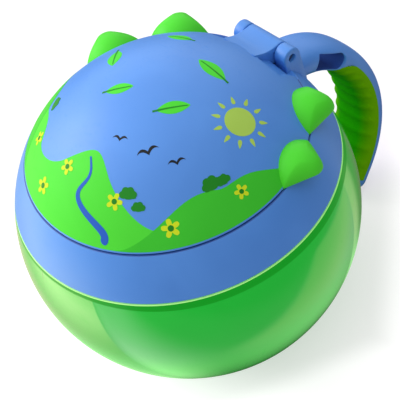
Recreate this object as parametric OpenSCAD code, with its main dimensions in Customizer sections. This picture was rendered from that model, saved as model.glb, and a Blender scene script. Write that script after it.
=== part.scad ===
// Toddler snack container: a ball-shaped cup with a screw-on collar that carries the handle,
// a soft spill guard under a hinged dome lid, and four soft-looking lobes along the lid's edge.
// The frame: +Z is up, the front is -Y, the hinge and the handle are at +Y. The origin is the
// centre of the flat foot. Heights named "up" are counted from the ball's centre.

/* [Ball] */
// Outer diameter of the ball that the bowl, the collar and the lid share
ball_d = 100; // [84:1:120]
// Diameter of the flat foot
foot_d = 50; // [42:1:60]
// Wall of the bowl
bowl_wall = 2.2; // [1.6:0.1:2.8]
// Thickness of the bowl's floor
floor_t = 2.6; // [1.8:0.1:3.5]
// Thickness of the bowl's shoulder and neck
neck_wall = 2.2; // [1.8:0.1:2.4]

/* [Collar] */
// Height of the collar's lower edge above the ball's centre
collar_up = 14.5; // [12.5:0.1:15]
// Height of the lid seam above the ball's centre
seam_up = 27.9; // [27:0.1:29.5]
// Width of the seam gaps at the lid and at the bowl
seam_gap = 0.35; // [0.25:0.05:0.5]
// Wall of the collar and of the lid
shell_wall = 2.2; // [1.8:0.1:2.7]
// Thickness of the collar's deck around the mouth
deck_t = 2.1; // [1.6:0.1:2.6]
// Depth of the seat for the lid seal, below the collar's top edge
seat_depth = 1; // [0.9:0.1:1.6]
// Wall of the skirt that carries the collar's thread
skirt_wall = 1.8; // [1.4:0.1:2.2]
// Wall of the spigot that holds the spill guard
spigot_wall = 1.9; // [1.5:0.1:2.4]
// Depth of the spigot below the deck
spigot_depth = 4.8; // [4.6:0.1:6]
// Width of the lip between the spigot and the mouth
lip_w = 1.95; // [1.5:0.05:2.4]

/* [Thread] */
// Rise of the collar in one full turn
thread_lead = 22; // [20:1:26]
// Number of thread starts
thread_starts = 3; // [2:1:3]
// Height of a thread rib off its wall
thread_h = 1.1; // [0.8:0.1:1.4]
// Thickness of a thread rib, measured upwards
thread_t = 1.5; // [1.1:0.1:1.7]
// Length of the thread, measured upwards
thread_rise = 4.4; // [3.6:0.1:4.8]

/* [Spill guard] */
// Thickness of the soft guard ring
guard_t = 1.1; // [0.9:0.1:1.2]
// Thickness of a soft flap
flap_t = 0.9; // [0.7:0.1:1]
// Width of the slits between the flaps
slit_w = 0.6; // [0.5:0.1:1]
// Radius of the small hole where the flaps meet
flap_hole_r = 2.5; // [1.5:0.5:5]
// Height of the retainer ring that clamps the guard
retainer_h = 2.4; // [2:0.1:2.6]
// Width of the retainer ring
retainer_w = 2.4; // [2:0.1:2.6]

/* [Lid] */
// Depth of the lid's plug below the seam
plug_depth = 2.6; // [2:0.1:2.8]
// Wall of the plug
plug_wall = 2; // [1.5:0.1:2.4]
// Thickness of the lid liner
liner_t = 1.5; // [1.2:0.1:2]
// Thickness of the flat lid seal
lid_seal_t = 0.95; // [0.8:0.05:1]
// Width of the flat lid seal
lid_seal_w = 2.8; // [2:0.1:3]

/* [Hinge] */
// Height of the hinge axis above the lid seam
hinge_rise = 3.7; // [3.5:0.1:4.5]
// Distance of the hinge axis behind the ball's surface at its own height
hinge_out = 2.75; // [2.6:0.05:3.2]
// Radius of the knuckles
knuckle_r = 3.1; // [2.9:0.1:3.2]
// Length of the lid's middle barrel
barrel_w = 12.7; // [11:0.1:14]
// Thickness of the right ear, through which the pin goes in
ear_right_w = 4.4; // [3.5:0.1:5]
// Thickness of the left ear
ear_left_w = 3.4; // [3:0.1:5]
// Radius of the hinge pin
pin_r = 1.25; // [1:0.05:1.5]
// Depth of the pin's ends below the ears' faces
pin_recess = 1.2; // [0.4:0.1:1.6]
// Gap between a knuckle and its neighbour
knuckle_gap = 0.25; // [0.2:0.05:0.4]

/* [Handle] */
// Width of the handle
handle_w = 15.4; // [14:0.1:18.5]
// Thickness of the handle
handle_t = 8.9; // [8:0.1:10]
// Squareness of the handle's section, where 2 is an ellipse and 4 is nearly a rectangle
handle_square = 2.7; // [2.2:0.1:3.4]
// Depth below the seam at which the handle leaves the collar
root_drop = 8; // [7.5:0.1:8.5]
// Bend radius of the handle's shoulder
bend_a_r = 29.3; // [27:0.1:31]
// Bend radius of the handle's back
bend_b_r = 35.3; // [32:0.1:40]
// Bend radius of the handle's lower turn
bend_c_r = 33.6; // [32:0.1:35]
// Height of the handle's tip above the surface that the foot stands on
tip_lift = 0.7; // [0.5:0.1:3]
// Height of the strap slot
slot_h = 5.1; // [4.2:0.1:5.4]
// Length of the strap slot from its flat end to the centre of its round end
slot_len = 9.3; // [7:0.1:9.6]
// Thickness of the soft grip on the handle's inner face
grip_t = 2; // [1.5:0.1:2.4]
// Wall of the soft grip on the handle's sides
grip_side = 1.9; // [1.4:0.1:2.2]
// Height of the grip's edge above the middle of the handle's thickness
grip_edge = 0.6; // [0.3:0.1:1]

/* [Lobes] */
// Reach of a lobe's tip beyond the lid's edge
lobe_reach = 6.9; // [6:0.1:7.6]
// Rounding of a lobe's tip
lobe_tip_r = 3.2; // [2.6:0.1:3.6]
// Radius of a lobe's crown
lobe_crown_r = 9.65; // [9.4:0.05:10]
// Direction of the front lobes, in degrees from the back
lobe_front_deg = 68.5; // [66:0.5:72]
// Direction of the rear lobes, in degrees from the back
lobe_rear_deg = 40.3; // [38:0.5:43]
// Width of the tongue that holds a lobe in the lid
tongue_w = 4.8; // [3.6:0.1:5.4]
// Height of that tongue
tongue_h = 1.8; // [1.4:0.1:2]

/* [Fits] */
// Clearance of the pin in the barrel, on the radius
pin_run = 0.06; // [0.03:0.01:0.1]
// Clearance of the pin in the ears, on the radius
pin_hold = 0.02; // [0.01:0.01:0.03]
// Clearance between pieces that slide together, on the radius
slide_fit = 0.4; // [0.35:0.05:0.5]
// Clearance between pieces that are assembled once, on each side
set_fit = 0.1; // [0.05:0.01:0.15]

/* [Hidden] */
$fn = 96;
deg_full = 360;
// How far one feature of a piece sinks into another
join = 0.3;

ball_r = ball_d / 2;
foot_r = foot_d / 2;
centre_up = sqrt(ball_r * ball_r - foot_r * foot_r);
inner_r = ball_r - shell_wall;
flap_n = 6;

// Radius at a height up of a ball of radius r about the centre
function ring_r(up, r) = sqrt(r * r - up * up);

// Heights of the closure, from the lid seam down
seam_low = seam_up - seam_gap / 2;
seam_high = seam_up + seam_gap / 2;
deck_high = seam_low - seat_depth;
deck_low = deck_high - deck_t;
neck_seal_t = 1.7;
seal_inset = 0.2;
neck_high = deck_low - neck_seal_t - slide_fit;
ledge_high = collar_up - seam_gap;
thread_clear = 2;
thread_low = ledge_high + thread_clear;

// Radii of the closure, from the collar's wall inwards
skirt_r = ring_r(deck_low, inner_r);
neck_r = skirt_r - thread_h - slide_fit;
neck_hole_r = neck_r - neck_wall;
spigot_r = neck_hole_r - slide_fit;
spigot_hole_r = spigot_r - spigot_wall;
mouth_r = spigot_hole_r - lip_w;
land_r = ring_r(seam_low, inner_r) - set_fit;

// Thread ribs: the collar's ribs lie under the bowl's ribs
rib_deg = thread_t * deg_full / thread_lead;
rib_gap = 0.3;
rib_gap_deg = rib_gap * deg_full / thread_lead;

// Spill guard: the flaps fill a polygon, and each bends about one of its sides
guard_r = spigot_hole_r - set_fit;
guard_high = deck_low - set_fit;
guard_mid = guard_high - guard_t / 2;
retainer_hole_r = guard_r - retainer_w;
flap_inset = 1.2;
flap_axis_r = (retainer_hole_r - flap_inset) * cos(180 / flap_n);
flap_side = 2 * flap_axis_r * tan(180 / flap_n);
flap_gap = 0.3;

// Lid
plug_r = mouth_r - slide_fit;
liner_low = seam_high;
cover_step = 1.2;
cover_low = liner_low + cover_step;
liner_r = ring_r(liner_low + liner_t, inner_r) - set_fit;

// Hinge
hinge_up = seam_up + hinge_rise;
hinge_back = ring_r(hinge_up, ball_r) + hinge_out;
ear_in = barrel_w / 2 + knuckle_gap;
ear_right = ear_in + ear_right_w;
ear_left = ear_in + ear_left_w;
ear_fill = 2;
ear_foot = 2;
notch_side = 2.2;
notch_y = hinge_back - knuckle_r - seam_gap;
pocket_side = 3;
pocket_len = 8.4;
pocket_depth = 1;
pin_slot_w = 0.6;
pin_slot_d = 0.5;

// Handle: three bends and a straight, drawn in the plane X = 0 as [y, up]. An angle is the
// path's direction, counted from +Y, and it falls as the handle turns down and inwards.
dir_root = -14.7;
sweep_a = 38.7;
sweep_b = 18.6;
sweep_c = 62.4;
dir_b = dir_root - sweep_a;
dir_c = dir_b - sweep_b;
dir_tip = dir_c - sweep_c;
function along(a) = [cos(a), sin(a)];
function outward(a) = [-sin(a), cos(a)];
function bend_centre(p, a, r) = p - r * outward(a);
function arc_len(sweep, r) = sweep * r * PI / 180;
root_sink = 3;
root_up = seam_up - root_drop;
root_at = [ring_r(root_up, ball_r), root_up];
centre_a = bend_centre(root_at, dir_root, bend_a_r);
start_b = centre_a + bend_a_r * outward(dir_b);
centre_b = bend_centre(start_b, dir_b, bend_b_r);
start_c = centre_b + bend_b_r * outward(dir_c);
centre_c = bend_centre(start_c, dir_c, bend_c_r);
start_tip = centre_c + bend_c_r * outward(dir_tip);
end_a = arc_len(sweep_a, bend_a_r);
end_b = end_a + arc_len(sweep_b, bend_b_r);
end_c = end_b + arc_len(sweep_c, bend_c_r);
tip_up = -centre_up + tip_lift + handle_t / 2;
tip_s = end_c + max(0.5, (tip_up - start_tip[1]) / sin(dir_tip));

// The point [y, up] at a length s along the path and n outwards from it
function in_bend(centre, dir, r, s, n) = centre + (r + n) * outward(dir - s / r * 180 / PI);
function in_line(from, dir, s, n) = from + s * along(dir) + n * outward(dir);
function place(s, n) =
    s < 0 ? in_line(root_at, dir_root, s, n)
    : s < end_a ? in_bend(centre_a, dir_root, bend_a_r, s, n)
    : s < end_b ? in_bend(centre_b, dir_b, bend_b_r, s - end_a, n)
    : s < end_c ? in_bend(centre_c, dir_c, bend_c_r, s - end_b, n)
    : in_line(start_tip, dir_tip, s - end_c, n);

// Strap slot and grip along the handle. The grip's top end leans: it starts nearer the root
// on the inner face than at its edges.
slot_s = 6.7;
slot_n = 0.2;
slot_aim = dir_root - 23.8;
core_round = 2;
core_gap = 0.1;
core_steps = 6;
core_n = grip_t - handle_t / 2;
core_half = handle_w / 2 - grip_side;
grip_s = 21.2;
lean_len = 12;
step_e = 0.04;
end_gap = 0.12;
section_steps = 12;
path_step = 2.2;
line_turn = acos(pow(grip_edge / (handle_t / 2), handle_square / 2));
bar_s = path_stops(-root_sink, grip_s - step_e);
core_s = path_stops(grip_s, tip_s - step_e);
tip_turns = [0, 20, 40, 60, 78];

// Lobes, placed from the lid's edge
lid_edge_r = ring_r(seam_up, ball_r);
lobe_side_deg = 43;
lobe_tip_y = lid_edge_r + lobe_reach - lobe_tip_r;
lobe_back_y = lid_edge_r - 5.5;
lobe_foot_x = lobe_tip_r * cos(lobe_side_deg)
    + (lobe_tip_y + lobe_tip_r * sin(lobe_side_deg) - lobe_back_y) * tan(lobe_side_deg);
lobe_crown_up = seam_up - 4.3;
lobe_crown_y = lid_edge_r - 0.9;
tongue_lift = 0.4;
tongue_past = 1.5;
tongue_up = liner_low + liner_t + tongue_lift;
skin = 0.06;

// ---- helpers ----

// Everything is drawn about the ball's centre and lifted onto the foot
module lifted() {
    translate([0, 0, centre_up]) children();
}

// A ring with a rectangular section
module ring(r_in, r_out, low, high) {
    rotate_extrude() translate([r_in, low]) square([r_out - r_in, high - low]);
}

// Limits on both sides of a middle
function about(middle, half) = [middle - half, middle + half];

// A box given by its limits along X, Y and Z
module block(x, y, z) {
    translate([x[0], y[0], z[0]]) cube([x[1] - x[0], y[1] - y[0], z[1] - z[0]]);
}

// A cylinder along the hinge axis, between two limits along X
module axis_rod(r, x) {
    translate([x[0], hinge_back, hinge_up]) rotate([0, 90, 0]) cylinder(r = r, h = x[1] - x[0]);
}

// Both sides of the object
module both_sides() {
    children();
    mirror([1, 0, 0]) children();
}

// Both sides of the hinge, each with its own ear
module each_ear() {
    let ($ear_w = ear_right_w) children();
    mirror([1, 0, 0]) let ($ear_w = ear_left_w) children();
}

// Thread ribs between two radii, turned to their place
module thread_ribs(r_in, r_out, turn) {
    steps = 4;
    sector = [for (i = [0 : steps]) r_out * along(i * rib_deg / steps)];
    sector_in = [for (i = [steps : -1 : 0]) r_in * along(i * rib_deg / steps)];
    for (s = [0 : thread_starts - 1])
        rotate([0, 0, turn + s * deg_full / thread_starts])
            translate([0, 0, thread_low])
                linear_extrude(thread_rise, twist = -thread_rise * deg_full / thread_lead,
                    slices = 10, $fn = 16) polygon(concat(sector, sector_in));
}

// A quarter of a rounded corner, as points [n, x] about the corner's centre
function corner(at, a) = [for (i = [0 : core_steps]) at + core_round * along(a + 90 * i / core_steps)];

function reverse(list) = [for (i = [len(list) - 1 : -1 : 0]) list[i]];

// Even stops along the path between two lengths
function path_stops(low, high) = let (count = ceil((high - low) / path_step))
    [for (i = [0 : count]) low + (high - low) * i / count];

// A point [n, x] of the handle's section: n is counted outwards and x across the handle
function signed_power(v) = sign(v) * pow(abs(v), 2 / handle_square);
function edge_at(a) = [handle_t / 2 * signed_power(cos(a)), handle_w / 2 * signed_power(sin(a))];
function edge_run(low, high, steps) = [for (i = [0 : steps]) edge_at(low + (high - low) * i / steps)];

// The core under the grip, less a gap: its edges reach up to a height n
function core_run(gap, top) = let (n = core_n - gap + core_round, x = core_half + gap - core_round)
    concat([[top, x + core_round]], corner([n, x], 90), corner([n, -x], 180),
        [[top, -x - core_round]]);

// The bar's section: where it is cored, its inner half shrinks to the core
function bar_section(cored) = concat(
    edge_run(-line_turn, line_turn, section_steps),
    cored ? core_run(0, grip_edge)
        : edge_run(line_turn + 1, deg_full - line_turn - 1, 2 * core_steps + 3));

// The grip's section: the handle's inner half less the core and a gap
function grip_section() = concat(
    edge_run(line_turn + 1, deg_full - line_turn - 1, 2 * core_steps + 3),
    reverse(core_run(core_gap, edge_at(line_turn + 1)[0])));

// Where a point at height n moves along the path, so that the grip's top end leans
function lean(s, n) = let (m = min(n, grip_edge))
    (1.5 * m + 0.46 * pow(m + 2, 2)) * max(0, 1 - abs(s - grip_s) / lean_len);

// Stands the points [n, x] of a section on the path, at a length s
function stand(s, points) = [for (p = points) let (at = place(s + lean(s, p[0]), p[0]))
    [p[1], at[0], at[1]]];

// The section drawn in towards the middle, for the round tip
function tapered(points, scale) =
    [for (p = points) [p[0] * scale, p[1] * (1 - (1 - scale) * handle_t / handle_w)]];

// A solid through a list of rings that all have the same number of points. Its ends are one
// face each, or with banded, a band of faces between a ring's first half and its second.
module loft(rings, banded = false) {
    n = len(rings[0]);
    last = (len(rings) - 1) * n;
    sides = [for (i = [0 : n : last - n], j = [0 : n - 1]) let (k = (j + 1) % n)
        [i + j, i + n + j, i + n + k, i + k]];
    low = banded ? [for (j = [0 : n / 2 - 2]) [j, j + 1, n - 2 - j, n - 1 - j]]
        : [[for (j = [0 : n - 1]) j]];
    high = [for (face = low) reverse([for (j = face) last + j])];
    polyhedron([for (r = rings) each r], concat(sides, low, high), convexity = 6);
}

// The handle from inside the collar's wall to its round tip
module handle_bar() {
    loft(concat(
        [for (at = bar_s) stand(at, bar_section(false))],
        [for (at = core_s) stand(at, bar_section(true))],
        [for (a = tip_turns)
            stand(tip_s + handle_t / 2 * sin(a), tapered(bar_section(false), cos(a)))]));
}

// ---- sub-parts ----

// Clear bowl: ball, flat foot, shoulder and threaded neck
module bowl() {
    color([0.2, 0.8, 0.25, 0.8]) lifted() {
        rotate_extrude() difference() {
            union() {
                intersection() {
                    circle(r = ball_r, $fn = 200);
                    translate([0, -centre_up]) square([ball_r, centre_up + ledge_high]);
                }
                translate([neck_hole_r, 0]) square([neck_wall, neck_high]);
            }
            intersection() {
                circle(r = ball_r - bowl_wall, $fn = 200);
                translate([0, floor_t - centre_up])
                    square([ball_r, centre_up - floor_t + ledge_high - neck_wall]);
            }
            square([neck_hole_r, ball_r]);
            translate([-ball_r, -ball_r]) square([ball_r, 2 * ball_r]);
        }
        thread_ribs(neck_r - join, neck_r + thread_h, 0);
    }
}

// Collar: ball-shaped wall, deck, thread skirt, guard spigot, hinge ears and handle bar
module collar() {
    color([0.35, 0.57, 0.86]) lifted() difference() {
        union() {
            collar_ring();
            thread_ribs(skirt_r - thread_h, skirt_r + join, rib_deg + rib_gap_deg);
            outside_collar() {
                handle_bar();
                each_ear() ear();
            }
            each_ear() intersection() {
                ear();
                ring(land_r, ball_r, deck_high - join, seam_low + ear_fill);
            }
        }
        strap_slot();
        axis_rod(pin_r + pin_hold, [-2 * ear_left, 2 * ear_right]);
    }
}

module collar_ring() {
    rotate_extrude() difference() {
        union() {
            intersection() {
                circle(r = ball_r, $fn = 200);
                translate([0, collar_up]) square([ball_r, seam_low - collar_up]);
            }
            translate([spigot_hole_r, deck_low - spigot_depth]) square([spigot_wall, spigot_depth]);
        }
        difference() {
            intersection() {
                circle(r = inner_r, $fn = 200);
                square([ball_r, deck_low]);
            }
            translate([skirt_r, collar_up]) square([skirt_wall, ball_r]);
            translate([spigot_hole_r, deck_low - spigot_depth]) square([spigot_wall, spigot_depth]);
        }
        square([mouth_r, ball_r]);
        translate([0, deck_high]) square([land_r, ball_r]);
        square([spigot_hole_r, deck_low]);
        translate([-ball_r, -ball_r]) square([ball_r, 2 * ball_r]);
    }
}

// Keeps what is drawn on the collar's back out of the hollow inside it
module outside_collar() {
    difference() {
        children();
        intersection() {
            sphere(r = ball_r - shell_wall / 2, $fn = 160);
            block(about(0, ball_r), about(0, ball_r), [-ball_r, seam_low]);
        }
        intersection() {
            sphere(r = ball_r, $fn = 160);
            block(about(0, ball_r), about(0, ball_r), [seam_low, ball_r]);
        }
    }
}

// One hinge ear: a knuckle on an upright plate that dies into the ball
module ear() {
    low = root_up - ear_foot;
    axis_rod(knuckle_r, [ear_in, ear_in + $ear_w]);
    block([ear_in, ear_in + $ear_w], about(hinge_back, knuckle_r), [low, hinge_up]);
}

// Slot through the handle's sides, flat towards the collar and round at its far end
module strap_slot() {
    rotate([90, 0, 90]) translate(place(slot_s, slot_n)) rotate([0, 0, slot_aim]) {
        translate([0, -slot_h / 2, -handle_w]) cube([slot_len, slot_h, 2 * handle_w]);
        translate([slot_len, 0, -handle_w]) cylinder(d = slot_h, h = 2 * handle_w);
    }
}

// Soft grip moulded round the handle's inner face and sides
module handle_grip() {
    stops = path_stops(grip_s + end_gap, tip_s - step_e - end_gap);
    color([0.25, 0.55, 0.05]) lifted() difference() {
        loft([for (at = stops) stand(at, grip_section())], banded = true);
        strap_slot();
    }
}

// Flat seal that the bowl's neck presses against the deck
module neck_seal() {
    color([0.9, 0.92, 0.9]) lifted()
        ring(neck_hole_r + seal_inset, skirt_r - slide_fit, deck_low - neck_seal_t, deck_low);
}

// Soft guard ring with a many-sided hole
module guard_ring() {
    color([0.85, 0.9, 0.85]) lifted() difference() {
        ring(flap_axis_r / 2, guard_r, guard_high - guard_t, guard_high);
        rotate([0, 0, 180 / flap_n]) translate([0, 0, guard_mid - guard_t])
            cylinder(r = (flap_axis_r + flap_gap + flap_t / 2) / cos(180 / flap_n), h = 2 * guard_t,
                $fn = flap_n);
    }
}

// One soft flap: a wedge that bends about its outer side
module guard_flap(i) {
    color([0.8, 0.88, 0.8]) lifted() rotate([0, 0, (i - 1) * deg_full / flap_n])
        translate([0, 0, guard_mid]) difference() {
            union() {
                linear_extrude(flap_t, center = true) flap_outline();
                translate([flap_axis_r, 0, 0]) rotate([90, 0, 0])
                    cylinder(d = flap_t, h = flap_root_w(), center = true);
            }
            cylinder(r = flap_hole_r, h = 2 * guard_t, center = true);
        }
}

// Width of a flap at its bending line, less the slits on both sides
function flap_root_w() = flap_side - slit_w / cos(180 / flap_n);

module flap_outline() {
    back = slit_w / (2 * sin(180 / flap_n));
    half = flap_root_w() / 2;
    polygon([[back, 0], [flap_axis_r, -half], [flap_axis_r, half]]);
}

// Ring that clamps the guard in the spigot
module guard_retainer() {
    color([0.93, 0.93, 0.9]) lifted()
        ring(retainer_hole_r, guard_r, guard_high - guard_t - retainer_h, guard_high - guard_t);
}

// Lid: dome with the middle barrel, relief pockets beside it and slots for the lobes
module lid_shell() {
    color([0.4, 0.62, 0.9]) lifted() difference() {
        union() {
            difference() {
                sphere(r = ball_r, $fn = 200);
                sphere(r = inner_r, $fn = 200);
                block(about(0, 2 * ball_r), about(0, 2 * ball_r), [-2 * ball_r, seam_high]);
                block([-ear_left - notch_side, ear_right + notch_side], [notch_y, ball_r], [0, ball_r]);
                each_ear() hinge_pocket();
            }
            axis_rod(knuckle_r, about(0, barrel_w / 2));
            barrel_neck();
        }
        axis_rod(pin_r + pin_run, about(0, barrel_w));
        lobe_places() tongue(set_fit);
    }
}

// Shallow relief in the dome in front of each ear
module hinge_pocket() {
    difference() {
        block([ear_in - 2 * knuckle_gap, ear_in + $ear_w + pocket_side], [hinge_back - pocket_len, ball_r],
            [seam_low, ball_r]);
        sphere(r = ball_r - pocket_depth, $fn = 160);
    }
}

// Web that ties the barrel to the dome
module barrel_neck() {
    across = about(0, barrel_w / 2);
    y_on = ring_r(hinge_up + knuckle_r, ball_r) - knuckle_r;
    difference() {
        union() {
            block(across, [y_on, notch_y], [seam_high, hinge_up + knuckle_r]);
            block(across, [y_on, hinge_back], [hinge_up - 1, hinge_up + knuckle_r]);
        }
        sphere(r = inner_r, $fn = 160);
    }
}

// Inner cover of the lid, with the plug that enters the mouth
module lid_liner() {
    color([0.92, 0.95, 0.92]) lifted() {
        ring(plug_r - plug_wall, plug_r, seam_up - plug_depth, cover_low + liner_t);
        ring(plug_r - join, liner_r, liner_low, liner_low + liner_t);
        translate([0, 0, cover_low]) cylinder(r = plug_r - join, h = liner_t);
    }
}

// Flat seal under the liner's flange
module lid_seal() {
    color([0.75, 0.85, 0.75]) lifted()
        ring(land_r - lid_seal_w - slide_fit, land_r - slide_fit, liner_low - lid_seal_t, liner_low);
}

// Headless pin with a screwdriver slot at each end
module hinge_pin() {
    ends = [pin_recess - ear_left, ear_right - pin_recess];
    color([0.75, 0.76, 0.78]) lifted() difference() {
        axis_rod(pin_r, ends);
        for (x = ends) block(about(x, pin_slot_d), about(hinge_back, 2 * pin_r),
            about(hinge_up, pin_slot_w / 2));
    }
}

// The four places of the lobes
module lobe_places() {
    both_sides() for (a = [lobe_front_deg, lobe_rear_deg]) rotate([0, 0, -a]) children();
}

// Tongue that passes through the dome's wall
module tongue(gap = 0) {
    wall_in = ring_r(tongue_up, inner_r) - 1 - 3 * gap;
    block(about(0, tongue_w / 2 + gap), [wall_in, ring_r(tongue_up, ball_r) + tongue_past],
        [tongue_up - gap, tongue_up + tongue_h + gap]);
}

// One lobe: a round-tipped tab with a crowned top, sitting on the dome
module lobe(a) {
    color([0.3, 0.82, 0.2]) lifted() rotate([0, 0, -a]) {
        difference() {
            intersection() {
                translate([0, 0, seam_high]) linear_extrude(lobe_crown_r) lobe_outline();
                translate([0, lobe_crown_y, lobe_crown_up]) sphere(r = lobe_crown_r, $fn = 120);
            }
            sphere(r = ball_r + skin, $fn = 200);
        }
        tongue();
    }
}

module lobe_outline() {
    tip = [for (i = [-6 : 6]) [0, lobe_tip_y] + lobe_tip_r * along(90 + side_turn() * i / 6)];
    polygon(concat(tip, [[-lobe_foot_x, lobe_back_y], [lobe_foot_x, lobe_back_y]]));
}

// Half the angle that the round tip turns through
function side_turn() = 90 - lobe_side_deg;

module mirrored_lobe(a) {
    mirror([1, 0, 0]) lobe(a);
}

bowl();
collar();
handle_grip();
neck_seal();
guard_ring();
guard_flap(1);  // guard_flap_1
guard_flap(2);  // guard_flap_2
guard_flap(3);  // guard_flap_3
guard_flap(4);  // guard_flap_4
guard_flap(5);  // guard_flap_5
guard_flap(6);  // guard_flap_6
guard_retainer();
lid_shell();
lid_liner();
lid_seal();
hinge_pin();
lobe(lobe_front_deg);  // lobe_front_right
lobe(lobe_rear_deg);  // lobe_rear_right
mirrored_lobe(lobe_front_deg);  // lobe_front_left
mirrored_lobe(lobe_rear_deg);  // lobe_rear_left
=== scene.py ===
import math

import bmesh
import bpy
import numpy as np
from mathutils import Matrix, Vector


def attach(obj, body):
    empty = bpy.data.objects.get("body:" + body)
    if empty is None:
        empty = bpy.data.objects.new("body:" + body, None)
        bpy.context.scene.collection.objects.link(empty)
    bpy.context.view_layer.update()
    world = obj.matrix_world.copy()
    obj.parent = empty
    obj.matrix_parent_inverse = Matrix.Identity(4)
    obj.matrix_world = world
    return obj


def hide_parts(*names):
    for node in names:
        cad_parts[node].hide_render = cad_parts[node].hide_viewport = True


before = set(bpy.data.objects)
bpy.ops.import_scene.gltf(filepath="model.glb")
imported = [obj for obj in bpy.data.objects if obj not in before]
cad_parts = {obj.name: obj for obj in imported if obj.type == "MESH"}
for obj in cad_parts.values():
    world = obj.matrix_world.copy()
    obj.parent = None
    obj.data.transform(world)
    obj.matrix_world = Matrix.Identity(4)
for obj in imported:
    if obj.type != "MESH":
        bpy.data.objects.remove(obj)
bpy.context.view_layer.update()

# %% [markdown]
# # A toddler's snack container
# The real object is a ball. Its lower part is a see-through green bowl, its middle is a blue collar
# that screws onto the bowl and carries a handle, and its top is a blue dome that opens on a hinge.
# Four green lobes stand on the lid's edge, and a printed landscape runs over the dome.
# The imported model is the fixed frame. Each visible piece is worked out again here as a smooth
# surface in the same place, because a moulded piece has soft edges that a plain solid lacks.
# All lengths below are millimetres, with heights counted from the ball's centre. Only the values
# inside the materials and the stage are metres from the floor, as Blender's own coordinates are.

BALL_R = 50.0
BOWL_R = 49.98
INNER_R = 47.8
FOOT_R = 25.0
CENTRE_UP = math.sqrt(BALL_R**2 - FOOT_R**2)
TAU = 2 * math.pi
MERGE_M, TINY_M = 2e-6, 1e-7
print("ball centre is", round(CENTRE_UP, 3), "mm above the floor")

# %% [markdown]
# ## Surfaces as grids
# A moulded surface is a function of two parameters, so its points form a grid and its faces are
# the grid's cells. Where a row shrinks to one point, as at a pole, the equal points are merged and
# the cells there become triangles. Normals are then turned outwards on the closed mesh.

# %% Grids, merging and outward faces
def cells(rows, columns, round_rows=False, round_columns=True):
    """Four corners of every cell of a grid that is numbered row by row.
    In a round direction the last line is joined to the first."""
    r = np.arange(rows if round_rows else rows - 1)[:, None]
    c = np.arange(columns if round_columns else columns - 1)[None, :]
    next_r, next_c = (r + 1) % rows, (c + 1) % columns
    corners = [r * columns + c, r * columns + next_c, next_r * columns + next_c, next_r * columns + c]
    return np.stack(np.broadcast_arrays(*corners), -1).reshape(-1, 4)


def patch(points, round_rows=False, round_columns=True):
    """A grid of points, rows by columns by 3, with its cells."""
    rows, columns = points.shape[:2]
    return points.reshape(-1, 3), cells(rows, columns, round_rows, round_columns)


def build(name, patches, body, material, nodes=(), crease=38, close_ends=False):
    """One piece from several patches: millimetres about the ball's centre become metres in the
    frame, equal points are merged, and faces are turned outwards. close_ends fills the open ends
    of thin strips."""
    starts = np.cumsum([0] + [len(p) for p, _ in patches])
    points = np.concatenate([p for p, _ in patches])
    faces = np.concatenate([f + s for (_, f), s in zip(patches, starts)])
    points = (points + [0, 0, CENTRE_UP]) / 1000
    mesh = bpy.data.meshes.new(name)
    mesh.from_pydata(points.tolist(), [], faces.tolist())
    work = bmesh.new()
    work.from_mesh(mesh)
    bmesh.ops.remove_doubles(work, verts=work.verts, dist=MERGE_M)
    bmesh.ops.dissolve_degenerate(work, edges=work.edges, dist=TINY_M)
    stray = [e for e in work.edges if not e.link_faces]
    bmesh.ops.delete(work, geom=stray, context="EDGES")
    rims = [e for e in work.edges if e.is_boundary]
    if close_ends:
        bmesh.ops.holes_fill(work, edges=rims, sides=0)
    bmesh.ops.recalc_face_normals(work, faces=work.faces)
    open_edges = sum(1 for e in work.edges if len(e.link_faces) != 2)
    work.to_mesh(mesh)
    work.free()
    mesh.shade_smooth()
    mesh.set_sharp_from_angle(angle=math.radians(crease))
    mesh.materials.append(material)
    piece = bpy.data.objects.new(name, mesh)
    bpy.context.scene.collection.objects.link(piece)
    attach(piece, body)
    if nodes:
        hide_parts(*nodes)
    print(name, len(mesh.polygons), "faces, open edges", open_edges)


# %% [markdown]
# ## Soft corners and turned pieces
# A mould never leaves a knife edge. Each corner of a profile is swapped for a short curve that
# leaves one side and meets the other smoothly: a quadratic Bezier curve with the corner as its
# middle control point. Two extra points beside it keep the shading of the flat sides flat.

# %% Rounded profiles, arcs and turned rings
def bezier(a, b, c, steps):
    """Points on the curve (1-t)^2 a + 2t(1-t) b + t^2 c, along a new second axis."""
    t = np.linspace(0, 1, steps)[:, None]
    a, b, c = a[:, None], b[:, None], c[:, None]
    return (1 - t) ** 2 * a + 2 * t * (1 - t) * b + t**2 * c


def rounded(points, radii, steps=5):
    """A closed profile with its corners rounded. A radius is the distance from the corner at
    which its curve starts, and it is kept below 0.45 of either side."""
    p = np.asarray(points, float)
    before, after = np.roll(p, 1, 0) - p, np.roll(p, -1, 0) - p
    len_b = np.linalg.norm(before, axis=1, keepdims=True)
    len_a = np.linalg.norm(after, axis=1, keepdims=True)
    reach = np.minimum(np.asarray(radii, float)[:, None] * np.ones_like(len_a),
                       0.45 * np.minimum(len_a, len_b))
    step_b, step_a = before / len_b, after / len_a
    curve = bezier(p + reach * step_b, p, p + reach * step_a, steps)
    wide = np.minimum(1.7 * reach, 0.49 * np.minimum(len_a, len_b))
    sides = (p + wide * step_b)[:, None], (p + wide * step_a)[:, None]
    line = np.concatenate([sides[0], curve, sides[1]], 1).reshape(-1, p.shape[1])
    apart = np.linalg.norm(line - np.roll(line, 1, 0), axis=1) > 2e-3
    return line[apart]


def arc(radius, low, high, count):
    """Points (distance from the axis, height) on a ball, between two heights."""
    angle = np.linspace(math.asin(low / radius), math.asin(high / radius), count)
    return np.stack([radius * np.cos(angle), radius * np.sin(angle)], -1)


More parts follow.
